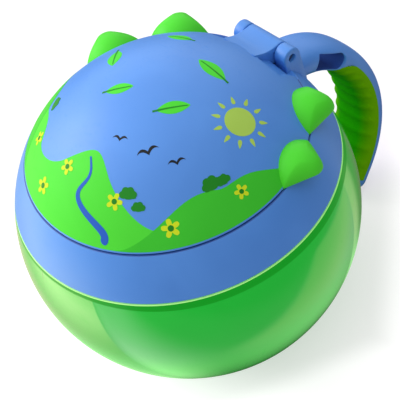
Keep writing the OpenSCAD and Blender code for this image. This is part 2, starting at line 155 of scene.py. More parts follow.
def turned(profile, steps=192, closed=True):
    """A profile (r, z) carried round the axis: x = r cos a, y = r sin a, z = z."""
    a = np.linspace(0, TAU, steps, endpoint=False)
    r, z = profile[:, :1], profile[:, 1:]
    points = np.stack([r * np.cos(a), r * np.sin(a), z + 0 * a], -1)
    return patch(points, round_rows=closed)


def profile_of(*parts):
    """Joins (points, radius) parts into one profile and rounds it."""
    points = np.concatenate([np.atleast_2d(p) for p, _ in parts])
    radii = np.concatenate([np.full(len(np.atleast_2d(p)), r) for p, r in parts])
    return rounded(points, radii)


# %% [markdown]
# ## Shared surface effects
# Every moulded piece has the same three small things: a fine grain from the mould's steel, faint
# handling marks, and a little dust where it faces up. Each is a node group that is built once and
# placed in each material with its own values. The groups put out only masks and heights that vary.
# The helpers come first: they let sums of node outputs be written as ordinary arithmetic.

# %% Small helpers for shader nodes
class Wire:
    """The output of a node. A sum, a difference or a product of wires and plain numbers adds a
    Math node, so a mask is written as ordinary arithmetic."""

    def __init__(self, socket):
        self.socket, self.tree = socket, socket.id_data

    def __add__(self, other):
        return maths("ADD", self, other)

    def __radd__(self, other):
        return maths("ADD", other, self)

    def __sub__(self, other):
        return maths("SUBTRACT", self, other)

    def __rsub__(self, other):
        return maths("SUBTRACT", other, self)

    def __mul__(self, other):
        return maths("MULTIPLY", self, other)

    def __abs__(self):
        return maths("ABSOLUTE", self)


def feed(socket, source):
    """Gives an input its wire or its plain value."""
    if isinstance(source, Wire):
        source.tree.links.new(source.socket, socket)
    else:
        socket.default_value = source


def add(tree, kind, links=None, out=None, **values):
    """One node: links is {input: wire or value}, and the other values go on the node itself.
    Gives the wire of the output that out names, or else the node."""
    node = tree.nodes.new(kind)
    for key, value in values.items():
        setattr(node, key, value)
    for key, source in (links or {}).items():
        feed(node.inputs[key], source)
    return Wire(node.outputs[out]) if out else node


def maths(operation, *values):
    """One Math node, in the tree of the first wire among the values."""
    tree = next(v for v in values if isinstance(v, Wire)).tree
    return add(tree, "ShaderNodeMath", dict(enumerate(values)), "Value", operation=operation)


def vector_maths(operation, *vectors):
    """One Vector Math node. A length or a dot product comes out as a number."""
    out = "Value" if operation in ("LENGTH", "DOT_PRODUCT") else "Vector"
    return add(vectors[0].tree, "ShaderNodeVectorMath", dict(enumerate(vectors)), out, operation=operation)


def axes(vector):
    """The three numbers x, y and z of a vector."""
    return [Wire(s) for s in add(vector.tree, "ShaderNodeSeparateXYZ", {"Vector": vector}).outputs]


def ramp(source, low, high, out_low=0.0, out_high=1.0):
    """A number that goes smoothly from out_low at low to out_high at high."""
    ends = {"From Min": low, "From Max": high, "To Min": out_low, "To Max": out_high}
    return add(source.tree, "ShaderNodeMapRange", {"Value": source, **ends}, "Result",
               interpolation_type="SMOOTHSTEP")


def noise(vector, scale, **more):
    """A cloudy pattern between 0 and 1."""
    return add(vector.tree, "ShaderNodeTexNoise", {"Vector": vector, "Scale": scale, **more}, "Fac")


def mix(mask, a, b):
    """Colour a where the mask is 0, and colour b where it is 1."""
    node = add(mask.tree, "ShaderNodeMix", {"Factor": mask}, data_type="RGBA")
    for socket, colour in zip([s for s in node.inputs if s.type == "RGBA"], (a, b)):
        feed(socket, colour)
    return Wire([s for s in node.outputs if s.type == "RGBA"][0])


# %% Node groups for grain, handling marks and dust
def node_group(name, vectors, scales, outputs):
    """A group with its named sockets. Gives the group, its inputs' wires and its output node."""
    group = bpy.data.node_groups.new(name, "ShaderNodeTree")
    for label in vectors:
        group.interface.new_socket(label, in_out="INPUT", socket_type="NodeSocketVector")
    for label, value in scales.items():
        made = group.interface.new_socket(label, in_out="INPUT", socket_type="NodeSocketFloat")
        made.default_value = value
    for label in outputs:
        group.interface.new_socket(label, in_out="OUTPUT", socket_type="NodeSocketFloat")
    given = {s.name: Wire(s) for s in group.nodes.new("NodeGroupInput").outputs if s.name}
    return group, given, group.nodes.new("NodeGroupOutput").inputs


grain, given, result = node_group("moulded_grain", ["Vector"], {"Grain Scale": 2600.0, "Flow Scale": 40.0},
                                  ["Height", "Flow"])
feed(result["Height"], noise(given["Vector"], given["Grain Scale"], Detail=3.0, Roughness=0.55))
flow = noise(given["Vector"], given["Flow Scale"], Detail=2.0, Distortion=0.6)
feed(result["Flow"], ramp(flow, 0.3, 0.7))

marks, given, result = node_group("handling_marks", ["Vector"], {"Scale": 60.0}, ["Mask"])
stretch = add(marks, "ShaderNodeMapping", {"Vector": given["Vector"], "Rotation": (0.4, 0.9, 0.2),
                                           "Scale": (1.0, 9.0, 3.0)}, "Vector")
streak = noise(stretch, given["Scale"], Detail=6.0, Roughness=0.7)
patchy = noise(given["Vector"], 45.0)
feed(result["Mask"], ramp(streak, 0.56, 0.68) * ramp(patchy, 0.42, 0.62))

dust, given, result = node_group("settled_dust", ["Vector", "Normal"], {}, ["Mask"])
specks = noise(given["Vector"], 900.0, Detail=4.0)
feed(result["Mask"], ramp(axes(given["Normal"])[2], 0.2, 1.0) * ramp(specks, 0.55, 0.75))
print("node groups:", [g.name for g in bpy.data.node_groups])

# %% [markdown]
# ## Plastics
# The colours are written as the eye reads them on a screen and turned to linear light here.
# A material mixes a colour with a slightly deeper one by the slow flow mask, so that no surface
# is one flat tone, and handling marks and dust raise the roughness. Gloss comes from the shader.

# %% Colours and the plastic materials
def linear(r, g, b):
    """Screen values 0 to 255 as linear light: ((c + 0.055) / 1.055) ^ 2.4."""
    c = np.array([r, g, b]) / 255
    return (*np.where(c <= 0.04045, c / 12.92, ((c + 0.055) / 1.055) ** 2.4), 1.0)


WORN_ROUGHER = 0.16


def plastic(name, colour, deeper, rough, grain_scale=2600.0, bump=0.04, sockets=None, shade=None):
    """A Principled material with grain, flow, marks and dust. shade may paint light and shade into
    the base colour: it takes (object coordinates, colour) and gives the new colour."""
    material = bpy.data.materials.new(name)
    material.use_nodes = True
    tree = material.node_tree
    skin = tree.nodes["Principled BSDF"].inputs
    where = add(tree, "ShaderNodeTexCoord", out="Object")
    normal = add(tree, "ShaderNodeNewGeometry", out="Normal")
    fine = add(tree, "ShaderNodeGroup", {"Vector": where, "Grain Scale": grain_scale}, node_tree=grain)
    worn = add(tree, "ShaderNodeGroup", {"Vector": where}, "Mask", node_tree=marks)
    dusty = add(tree, "ShaderNodeGroup", {"Vector": where, "Normal": normal}, "Mask", node_tree=dust)
    tone = mix(Wire(fine.outputs["Flow"]), linear(*colour), linear(*deeper))
    feed(skin["Base Color"], shade(where, tone) if shade else tone)
    ends = {"To Min": rough, "To Max": min(1.0, rough + WORN_ROUGHER)}
    feed(skin["Roughness"], add(tree, "ShaderNodeMapRange",
                                {"Value": maths("MAXIMUM", worn, dusty), **ends}, "Result"))
    relief = {"Height": Wire(fine.outputs["Height"]), "Strength": bump, "Distance": 0.00005}
    feed(skin["Normal"], add(tree, "ShaderNodeBump", relief, "Normal"))
    for key, value in (sockets or {}).items():
        skin[key].default_value = value
    return material


def paint_shade(material, mask_of, colour, duller=0.0):
    """Paints shade into a finished material: mixes a darker colour in where mask_of(object coordinates)
    is 1, and makes the surface rougher there by duller."""
    skin = material.node_tree.nodes["Principled BSDF"].inputs
    tone, rough = (Wire(skin[key].links[0].from_socket) for key in ("Base Color", "Roughness"))
    mask = mask_of(add(material.node_tree, "ShaderNodeTexCoord", out="Object"))
    feed(skin["Base Color"], mix(mask, tone, colour))
    feed(skin["Roughness"], rough + mask * duller)


# %% Blue, soft and white plastics
SEAM_MID_M = 0.0279


def seam_shade_mask(where):
    """Where shade is painted: the narrow gap between lid and collar, where little light gets in.
    It is left out behind, between the hinge's ears."""
    centred = vector_maths("ADD", where, (0, 0, -CENTRE_UP / 1000))
    radius = vector_maths("LENGTH", centred)
    x, y, z = axes(centred)
    gap = ramp(abs(z - SEAM_MID_M), 0.00034, 0.00022) * ramp(radius, 0.05022, 0.05012)
    return gap * maths("MAXIMUM", ramp(abs(x), 0.0148, 0.0152), ramp(y, 0.001, 0.0))


body_blue = plastic("satin_blue_plastic", (76, 140, 222), (71, 134, 216), 0.42, bump=0.12,
                    sockets={"Specular IOR Level": 0.55})
# Painted shade: a darker blue in the gap between lid and collar.
paint_shade(body_blue, seam_shade_mask, linear(34, 78, 156))
lobe_green = plastic("soft_green_lobe", (74, 212, 42), (68, 205, 38), 0.46, bump=0.1,
                     sockets={"Specular IOR Level": 0.24})
seal_white = plastic("white_seal_rubber", (225, 230, 226), (214, 221, 216), 0.55, bump=0.15)
guard_soft = plastic("milky_guard_rubber", (196, 214, 202), (186, 205, 192), 0.48, bump=0.12,
                     sockets={"Subsurface Weight": 0.25, "Subsurface Scale": 0.002})
inner_white = plastic("white_inner_plastic", (208, 213, 210), (201, 207, 204), 0.35, bump=0.06)
pin_steel = plastic("brushed_pin_steel", (176, 178, 182), (160, 163, 168), 0.28, bump=0.2,
                    sockets={"Metallic": 1.0})


def grip_light_and_shade(where, tone):
    """Painted light and shade: darker green in the middle of the grip's width, the inner face in
    shade, and a lighter olive towards its outer border, where the round section turns to the light.
    """
    return mix(ramp(abs(axes(where)[0]), 0.0035, 0.0078), tone, linear(104, 172, 2))


# Painted light and shade on the grip: dark green in the middle, olive at the sides.
grip_green = plastic("grip_rubber", (36, 164, 0), (30, 148, 0), 0.75, 1900.0, 0.25,
                     sockets={"Specular IOR Level": 0.02}, shade=grip_light_and_shade)

# %% The clear green of the bowl
LEDGE_UP = 14.15
EDGE_M = (CENTRE_UP + LEDGE_UP) / 1000


def bowl_edge_shade_and_glow(where):
    """Masks of the painted shade band under the collar's edge and of the painted glow line on the
    edge, both only on the outer wall. The band is wider on the right."""
    x, _, z = axes(where)
    wide = ramp(x, 0.0, 0.048, 0.0011, 0.0025)
    flat = vector_maths("MULTIPLY", where, (1, 1, 0))
    outer = ramp(vector_maths("LENGTH", flat), 0.0470, 0.0474)
    band = ramp(z + wide, EDGE_M - 0.0002, EDGE_M + 0.0001) * outer
    return band, ramp(z, EDGE_M - 0.0003, EDGE_M - 0.0002) * outer


def bowl_shade_and_glow(where, tone):
    """A darker band under the bowl's upper edge: painted shade under the collar, deepened where the
    thick shoulder is seen through. A pale line on the edge itself: a painted glow of light that runs
    inside the clear wall and comes out there. And a short dark upright line in front."""
    band, line = bowl_edge_shade_and_glow(where)
    x, y, z = axes(where)
    mark = ramp(abs(x * 0.990 + y * -0.141), 0.00022, 0.0001) * ramp(y, -0.02, -0.03)
    mark = mark * ramp(z, EDGE_M - 0.0043, EDGE_M - 0.0038)
    tone = mix(mark, tone, linear(30, 96, 24))
    return mix(line, mix(band, tone, linear(16, 116, 0)), linear(200, 250, 160))


# Painted glow: the green emission stands in for light scattered inside the clear wall.
bowl_green = plastic("clear_green_plastic", (8, 166, 38), (6, 161, 35), 0.3, 2600.0, 0.01,
                     sockets={"Transmission Weight": 0.1, "IOR": 1.5, "Specular IOR Level": 0.1,
                              "Coat Roughness": 0.02, "Emission Color": (0.003, 1.0, 0.07, 1),
                              "Emission Strength": 0.18}, shade=bowl_shade_and_glow)
tree = bowl_green.node_tree
# The painted shade band under the collar also loses nearly all its coat.
band, _ = bowl_edge_shade_and_glow(add(tree, "ShaderNodeTexCoord", out="Object"))
gloss = add(tree, "ShaderNodeMapRange", {"Value": band, "To Min": 1.0, "To Max": 0.08}, "Result")
feed(tree.nodes["Principled BSDF"].inputs["Coat Weight"], gloss)
print("materials:", [m.name for m in bpy.data.materials if m.use_nodes])

# %% [markdown]
# ## The bowl
# One clear moulding: a ball with a flat foot, a thick shoulder that meets the collar, and a neck
# with the screw thread. It could be cut from solids, but the foot ring, the rounded shoulder and
# the neck are all one turned profile, so a rounded profile is carried round the axis.

# %% Bowl profile
NECK_R, NECK_HOLE_R, NECK_UP = 39.47, 37.27, 22.525
SHOULDER_UP, FLOOR_UP, FOOT_RING_UP, FOOT_HOLLOW_UP = 11.95, -40.7, -43.0, -42.75
bowl_wall = arc(BOWL_R, FOOT_RING_UP, LEDGE_UP, 64)
bowl_profile = profile_of(
    ([0, FOOT_HOLLOW_UP], 0), ([20.2, FOOT_HOLLOW_UP], 0.5),
    ([21.0, -CENTRE_UP], 0.4), ([24.55, -CENTRE_UP], 0.6),
    (bowl_wall[:-1], 0), (bowl_wall[-1], 0.45), ([NECK_R, LEDGE_UP], 0.3), ([NECK_R, NECK_UP], 0.4),
    ([NECK_HOLE_R, NECK_UP], 0.4), ([NECK_HOLE_R, SHOULDER_UP], 0.6),
    (arc(INNER_R, FLOOR_UP, SHOULDER_UP, 48)[::-1], 0.4), ([0, FLOOR_UP], 0))
print("bowl profile has", len(bowl_profile), "points")

# %% [markdown]
# ## The screw thread
# Three ribs climb round the bowl's neck, and three on the collar hook under them. A rib is a round
# cornered profile carried along a helix: its height grows with its angle by the lead, and both
# ends taper into the wall so that the thread starts easily.

# %% Thread ribs
THREAD_LEAD, THREAD_LOW = 22.0, 16.15
RIB_SPAN, RIB_DEG, HOOKED_DEG = (14.0, 82.0), 24.5, 4.9
RIB_SUNK, RIB_TALL, RIB_HALF = 0.15, 1.1, 0.72
SKIRT_R = 40.97


def rib(start_deg, wall_r, side):
    """A rib on a wall. Its centre line is at height low + lead * (angle - half a rib) / 360,
    side is 1 for outwards and -1 for inwards, and the taper is the root of 1 - u^8."""
    turn = np.linspace(*RIB_SPAN, 40)
    u = np.linspace(-1, 1, 40)
    taper = np.sqrt(np.clip(1 - u**8, 0, 1))[:, None]
    lower = np.array([[-RIB_SUNK, -RIB_HALF], [0.8, -RIB_HALF], [RIB_TALL, -0.35]])
    section = rounded(np.concatenate([lower, lower[::-1] * [1, -1]]), [0, 0.25, 0.2, 0.2, 0.25, 0], 4)
    radius = wall_r + side * (-RIB_SUNK + (section[:, 0] + RIB_SUNK) * taper)
    up = THREAD_LOW + THREAD_LEAD * (turn - RIB_DEG / 2) / 360
    angle = np.radians(start_deg + turn)[:, None]
    points = np.stack([radius * np.cos(angle), radius * np.sin(angle),
                       up[:, None] + section[:, 1] * taper], -1)
    return patch(points)


bowl_ribs = [rib(s * 120, NECK_R, 1) for s in range(3)]
collar_ribs = [rib(s * 120 + RIB_DEG + HOOKED_DEG, SKIRT_R, -1) for s in range(3)]
build("bowl_shell", [turned(bowl_profile), *bowl_ribs], "bowl_base", bowl_green, ["bowl"])

# %% [markdown]
# ## The collar's ring
# The blue band between the lid and the bowl. Its outer wall follows the ball, its deck closes the
# top round the mouth, a skirt inside it carries the thread, and a short spigot holds the spill
# guard. All of it is one turned profile that closes on itself.

# %% Collar profile
SEAM_LOW, SEAM_HIGH = 27.725, 28.075
DECK_HIGH, DECK_LOW = 26.725, 24.625
COLLAR_LOW, LAND_R, MOUTH_R = 14.5, 38.84, 33.02
SPIGOT_R, SPIGOT_HOLE_R, SPIGOT_LOW = 36.87, 34.97, 19.825
SKIRT_OUT_R, HOLLOW_UP = SKIRT_R + 1.8, 21.34
outer_wall = arc(BALL_R, COLLAR_LOW, SEAM_LOW, 24)
collar_profile = profile_of(
    (outer_wall[0], 0.35), (outer_wall[1:-1], 0), (outer_wall[-1], 0.4),
    ([LAND_R, SEAM_LOW], 0.3), ([LAND_R, DECK_HIGH], 0.25), ([MOUTH_R, DECK_HIGH], 0.6),
    ([MOUTH_R, DECK_LOW], 0.4), ([SPIGOT_HOLE_R, DECK_LOW], 0.2), ([SPIGOT_HOLE_R, SPIGOT_LOW], 0.35),
    ([SPIGOT_R, SPIGOT_LOW], 0.35), ([SPIGOT_R, DECK_LOW], 0.3), ([SKIRT_R, DECK_LOW], 0.3),
    ([SKIRT_R, COLLAR_LOW], 0.35), ([SKIRT_OUT_R, COLLAR_LOW], 0.35), ([SKIRT_OUT_R, HOLLOW_UP], 0.3),
    (arc(INNER_R, COLLAR_LOW, HOLLOW_UP, 10)[::-1][1:-1], 0), ([45.55, COLLAR_LOW], 0.3))
collar_parts = [turned(collar_profile), *collar_ribs]
print("collar profile has", len(collar_profile), "points")

# %% [markdown]
# ## Bored pieces: hinge knuckles and flat rings
# A hinge knuckle is an outline with a hole through it, and so is a seal. Both are one closed strip
# of profile carried round an axis: from the hole's edge out to the outline, across the thickness,
# and back. The outline may be any curve that is seen whole from the axis.

# %% Sleeves
def sleeve(outer, hole, low, high, edge, inner_edge=None, steps=4):
    """Rows go round the wall, columns round the axis. Gives (along, across a, across b) for an
    outline radius and a hole radius that may change with the angle."""
    inner_edge = edge if inner_edge is None else inner_edge
    count = max(np.size(outer), np.size(hole))
    count = 160 if count == 1 else count
    angle = np.linspace(0, TAU, count, endpoint=False)
    outer, hole = np.broadcast_to(outer, count), np.broadcast_to(hole, count)
    t = np.linspace(0, 1, steps)
    dip = (1 - t) ** 2                      # the rounding's depth as it turns from face to side
    near, far = edge * dip, edge * (t**2)
    rows = [(outer - a, low + b) for a, b in zip(near, far)]
    rows += [(outer - a, high - b) for a, b in zip(near[::-1], far[::-1])]
    near, far = inner_edge * dip, inner_edge * (t**2)
    rows += [(hole + a, high - b) for a, b in zip(near, far)]
    rows += [(hole + a, low + b) for a, b in zip(near[::-1], far[::-1])]
    radius = np.stack([r for r, _ in rows])
    along = np.array([x for _, x in rows])[:, None] + 0 * radius
    return along, radius * np.cos(angle), radius * np.sin(angle)


def outline_radius(outline, at=240):
    """Distance from the axis to a closed outline (a, b), at the angles in at, or at that many
    evenly spaced ones."""
    angle = np.arctan2(outline[:, 1], outline[:, 0]) % TAU
    order = np.argsort(angle)
    angle, radius = angle[order], np.hypot(*outline[order].T)
    at = np.linspace(0, TAU, at, endpoint=False) if np.ndim(at) == 0 else at
    return np.interp(at, angle, radius, period=TAU)


def dense(points, step=0.15):
    """Points every step along a closed polygon."""
    ends = np.roll(points, -1, 0)
    counts = np.maximum(1, np.ceil(np.linalg.norm(ends - points, axis=1) / step)).astype(int)
    side = np.repeat(np.arange(len(points)), counts)
    part = (np.arange(len(side)) - np.repeat(np.cumsum(counts) - counts, counts)) / counts[side]
    return points[side] + part[:, None] * (ends - points)[side]


# %% [markdown]
# ## The hinge
# The collar has two ears, and the lid's barrel turns between them on a steel pin. An ear is a
# round knuckle on a plate that runs down into the collar's wall. Its lower edge follows the inside
# of the wall, so that nothing shows inside the cup.

# %% Hinge ears
HINGE_Y, HINGE_UP, KNUCKLE_R = 41.498, 31.6, 3.1
EAR_IN, EAR_RIGHT, EAR_LEFT = 6.6, 11.0, 10.0
EAR_HOLE_R, BARREL_HOLE_R, HIDDEN_R = 1.27, 1.31, 48.9


def ear(x_in, x_out):
    """A knuckle: half a circle above the axis, upright sides below it, closed by a line that
    stays inside the collar's wall. It is bored for the pin."""
    top = np.radians(np.linspace(0, 180, 41))
    crown = KNUCKLE_R * np.stack([np.cos(top), np.sin(top)], -1)
    x = abs(x_out)
    foot_y = np.linspace(HINGE_Y - KNUCKLE_R + 2.2, HINGE_Y + KNUCKLE_R - 0.4, 12)
    foot_z = np.sqrt(HIDDEN_R**2 - x**2 - foot_y**2)
    foot = np.stack([foot_y - HINGE_Y, foot_z - HINGE_UP], -1)
    front = [[-KNUCKLE_R, -0.4], [-KNUCKLE_R, 27.3 - HINGE_UP]]
    rear = [[KNUCKLE_R, foot[-1, 1] - 0.8], [KNUCKLE_R, -0.4]]
    shape = dense(np.concatenate([crown, front, foot, rear]))
    low, high = sorted([x_in, x_out])
    length, a, b = sleeve(outline_radius(shape), EAR_HOLE_R, low, high, 0.45, 0.2)
    return patch(np.stack([length, HINGE_Y + a, HINGE_UP + b], -1), round_rows=True)


collar_parts += [ear(EAR_IN, EAR_RIGHT), ear(-EAR_IN, -EAR_LEFT)]
print("the hinge's axis is", HINGE_Y, "mm behind the middle and", HINGE_UP, "mm above it")

# %% [markdown]
# ## The handle's path
# The handle is drawn as three bends and a short straight in the plane through the ball's axis. A
# point of it is found from its length along that path, s, and its distance outwards from it, n.
# Both directions stay at right angles, so the section keeps its shape all the way round.

# %% Handle path
ROOT = np.array([45.870, 19.9])
DIR_ROOT = -14.7
BENDS = [(29.3, 38.7), (35.3, 18.6), (33.6, 62.4)]


def along(a):
    """The unit vector at that angle."""
    return np.stack([np.cos(np.radians(a)), np.sin(np.radians(a))], -1)


def outward(a):
    """The unit vector a quarter turn to the left of along(a)."""
    return np.stack([-np.sin(np.radians(a)), np.cos(np.radians(a))], -1)


starts, at, direction, length = [], ROOT, DIR_ROOT, 0.0
for radius, sweep in BENDS:
    centre = at - radius * outward(direction)
    starts.append((length, centre, direction, radius))
    direction -= sweep
    at = centre + radius * outward(direction)
    length += math.radians(sweep) * radius
END_C, TIP_START, DIR_TIP = length, at, direction
HANDLE_T = 8.88
TIP_UP = -CENTRE_UP + 0.7 + HANDLE_T / 2
TIP_S = END_C + (TIP_UP - TIP_START[1]) / math.sin(math.radians(DIR_TIP))


def place(s, n):
    """Point (y, height) at length s and n outwards: on a bend it is centre + (r + n) * outward
    at the direction reached there, and on a straight it is start + s * along + n * outward."""
    s, n = np.broadcast_arrays(np.asarray(s, float), np.asarray(n, float))
    point = ROOT + s[..., None] * along(DIR_ROOT) + n[..., None] * outward(DIR_ROOT)
    for begin, centre, towards, radius in starts:
        turn = towards - np.degrees((s - begin) / radius)
        bend = centre + (radius + n)[..., None] * outward(turn)
        point = np.where((s >= begin)[..., None], bend, point)
    tip = TIP_START + (s - END_C)[..., None] * along(DIR_TIP) + n[..., None] * outward(DIR_TIP)
    return np.where((s >= END_C)[..., None], tip, point)


print("handle path is", round(TIP_S, 2), "mm long")

# %% [markdown]
# ## The handle bar and its strap slot
# The bar's section is a superellipse: squarer than an ellipse, with no flat faces. Where the slot
# passes through its sides, the grid leaves out a window. A second grid joins the window's border
# to the slot's rim, turns over the rim in a quarter round, and runs through to the other side.

# %% Section of the bar, slot outline and border of the grip
HANDLE_W, SQUARE = 15.4, 2.7
SLOT_S, SLOT_N, SLOT_H, SLOT_LEN = 6.7, 0.2, 5.1, 9.3
HALF_H, SLOT_CORNER, SLOT_CLEAR = SLOT_H / 2, 0.7, 0.5
SLOT_AIM = DIR_ROOT - 23.8
WINDOW_S, WINDOW_A = (4.0, 20.6), (30, 150)
GRIP_FROM, GRIP_TO, HALF_GIRTH, GRIP_SUNK = 86.3, 273.7, 19.0, 0.5
slot_at = place(SLOT_S, SLOT_N)
slot_u, slot_v = along(SLOT_AIM), outward(SLOT_AIM)


def from_slot(yz):
    """Steps from the nearest point of the slot's middle line: along it, across it, and their length."""
    run, across = (yz - slot_at) @ slot_u, (yz - slot_at) @ slot_v
    past = run - np.clip(run, 0, SLOT_LEN)
    return past, across, np.hypot(past, across)


def section(a, grow=0.0):
    """Superellipse point (n, x) at angle a: half size times cosine or sine to the power 2/e."""
    c, s = np.cos(np.radians(a)), np.sin(np.radians(a))
    power = 2 / SQUARE
    return ((HANDLE_T / 2 + grow) * np.sign(c) * np.abs(c) ** power,
            (HANDLE_W / 2 + grow) * np.sign(s) * np.abs(s) ** power)


def side_x(n):
    """Half the width of the section at n."""
    return HANDLE_W / 2 * (1 - np.abs(2 * n / HANDLE_T) ** SQUARE) ** (1 / SQUARE)


def side_angle(n):
    """The section's angle where its offset is n, on the +x side."""
    return np.degrees(np.arccos(np.sign(n) * np.abs(2 * n / HANDLE_T) ** (SQUARE / 2)))


def grip_top(n):
    """Length at which the grip starts: a parabola in n, earlier on the handle's inner face."""
    return 21.16 + 1.51 * n + 0.458 * (n + 2) ** 2


def from_sides(a):
    """How far an angle of the section is from the grip's nearer side border, along the surface."""
    return np.minimum(np.abs(a - GRIP_FROM), np.abs(GRIP_TO - a)) / 180 * HALF_GIRTH


def inside_grip(s, n, a):
    """How far a point of the section lies inside the grip's border, along the surface."""
    over = np.where((a > GRIP_FROM) & (a < GRIP_TO), 1, -1) * from_sides(a)
    return np.minimum(np.minimum(over, (s - grip_top(n)) * 0.9), TIP_S - 0.2 - s)


def smooth(x):
    """Goes from 0 to 1 as x does, level at both ends: 3x^2 - 2x^3."""
    x = np.clip(x, 0, 1)
    return x * x * (3 - 2 * x)


def round_edge(depth, width):
    """Quarter ellipse: 0 at the edge, 1 from one width inside."""
    return np.sqrt(1 - (1 - np.clip(depth / width, 0, 1)) ** 2)


FLARE = 0.8


def bar_points(s, a):
    """The bar's surface, sunk a little where the grip covers it, and flared at the ball."""
    n, x = section(a)
    near_slot = from_slot(place(s, n))[2] - HALF_H - SLOT_CLEAR
    sunk = -GRIP_SUNK * smooth((inside_grip(s, n, a) - 0.2) / 0.5) * smooth(near_slot / 0.5)
    n, x = section(a, sunk)
    yz = place(s, n)
    clear = np.sqrt(x**2 + (yz**2).sum(-1)) - BALL_R
    flare = FLARE * (1 - round_edge(np.clip(clear, 0, None), FLARE)) * (s < WINDOW_S[0])
    n, x = section(a, sunk + flare)
    yz = place(s, n)
    return np.stack([x, yz[..., 0], yz[..., 1]], -1)


# %% Bar grid with a window in either side
ROOT_R = 49.2
ring_a = np.unique(np.concatenate([np.arange(0, 360, 4.0), [30, 150, 210, 330]]))
n0, x0 = section(ring_a)
base = ROOT + n0[:, None] * outward(DIR_ROOT)
ahead = base @ along(DIR_ROOT)
root_s = -ahead + np.sqrt(ahead**2 + ROOT_R**2 - x0**2 - (base**2).sum(-1))
to_window = np.array([0, .12, .2, .26, .32, .38, .46, .56, .7, .85])[:, None]
root_rows = root_s + (WINDOW_S[0] - root_s) * to_window
window_rows = np.linspace(*WINDOW_S, 42)
body_rows = np.linspace(WINDOW_S[1], TIP_S, 84)[1:]
mid_rows = np.concatenate([window_rows, body_rows])[:, None] + 0 * ring_a
rows_s = np.concatenate([root_rows, mid_rows])
bar = bar_points(rows_s, ring_a + 0 * rows_s)
tip_a = np.radians(np.linspace(0, 90, 12)[1:])[:, None]
tip_yz = place(TIP_S + HANDLE_T / 2 * np.sin(tip_a), n0 * np.cos(tip_a))
tip_x = x0 * (1 - (1 - np.cos(tip_a)) * HANDLE_T / HANDLE_W)
tip = np.stack([tip_x, tip_yz[..., 0], tip_yz[..., 1]], -1)
cap = np.repeat(bar[:1].mean(1, keepdims=True), len(ring_a), 1)
bar = np.concatenate([cap, bar, tip])
bar_grid, bar_cells = patch(bar)
row, column_a = bar_cells[:, 0] // len(ring_a), ring_a[bar_cells[:, 0] % len(ring_a)]
first = 1 + len(root_rows)
in_window = (row >= first) & (row < first + len(window_rows) - 1)
in_window &= (column_a % 180 >= WINDOW_A[0]) & (column_a % 180 < WINDOW_A[1])
bar_cells = bar_cells[~in_window]
print("bar grid", bar.shape[:2], "window cells left out", int(in_window.sum()))

# %% Border of the window and rim of the slot
RIM = 0.45
half_turn = np.radians(np.linspace(-90, 90, 49))
round_end = np.stack([SLOT_LEN + HALF_H * np.cos(half_turn), HALF_H * np.sin(half_turn)], -1)
flat_corner = bezier(np.array([[SLOT_CORNER, HALF_H]]), np.array([[0, HALF_H]]),
                     np.array([[0, HALF_H - SLOT_CORNER]]), 9)[0]
slot_shape = np.concatenate([round_end, flat_corner, flat_corner[::-1] * [1, -1]])
slot_mid = np.array([6.0, 0.0])
win_a = ring_a[(ring_a > WINDOW_A[0]) & (ring_a < WINDOW_A[1])]
border_s = np.concatenate([window_rows, np.full(len(win_a), WINDOW_S[1]), window_rows[::-1],
                           np.full(len(win_a), WINDOW_S[0])])
border_a = np.concatenate([np.full(len(window_rows), WINDOW_A[0]), win_a,
                           np.full(len(window_rows), WINDOW_A[1]), win_a[::-1]])
border_n = section(border_a)[0]
border = place(border_s, border_n) - slot_at
local = np.stack([border @ slot_u, border @ slot_v], -1) - slot_mid
aim = np.arctan2(local[:, 1], local[:, 0])
reach = outline_radius(dense(slot_shape, 0.05) - slot_mid, aim)
rim_uv = np.stack([reach * np.cos(aim), reach * np.sin(aim)], -1) + slot_mid
tangent = np.roll(rim_uv, -1, 0) - np.roll(rim_uv, 1, 0)
normal = np.stack([tangent[:, 1], -tangent[:, 0]], -1)
normal /= np.linalg.norm(normal, axis=1, keepdims=True)
normal *= np.sign((normal * (rim_uv - slot_mid)).sum(1, keepdims=True))
print("window border has", len(border_a), "points")


# %% Window, rounded rim and tunnel
def to_path(yz):
    """The length and offset (s, n) of a point near the first bend: its distance from the bend's
    centre less the radius, and the angle turned through times the radius."""
    _, centre, towards, radius = starts[0]
    off = yz - centre
    turn = towards + 90 - np.degrees(np.arctan2(off[..., 1], off[..., 0]))
    return np.radians(turn) * radius, np.hypot(off[..., 0], off[..., 1]) - radius


def rim_row(off):
    """The slot's outline, moved outwards by off."""
    uv = rim_uv + off * normal
    return slot_at + uv[:, :1] * slot_u + uv[:, 1:] * slot_v


outer_s, outer_n = to_path(rim_row(RIM))
window = []
for part in (1, .72, .5, .34, .2, .1, .04, 0):
    s, n = outer_s + (border_s - outer_s) * part, outer_n + (border_n - outer_n) * part
    window.append(bar_points(s, side_angle(n)))
for turn in np.radians([15, 30, 45, 60, 75, 90]):
    yz = rim_row(RIM * (1 - np.sin(turn)))
    x = side_x(to_path(yz)[1]) - RIM * (1 - np.cos(turn))
    window.append(np.concatenate([x[:, None], yz], 1))
tunnel = [window[-1] * [part, 1, 1] for part in (.8, .5, .2)]
half_side = np.array(window + tunnel)
slot_grid = np.concatenate([half_side, half_side[::-1] * [-1, 1, 1]])
collar_parts += [(bar_grid, bar_cells), patch(slot_grid)]


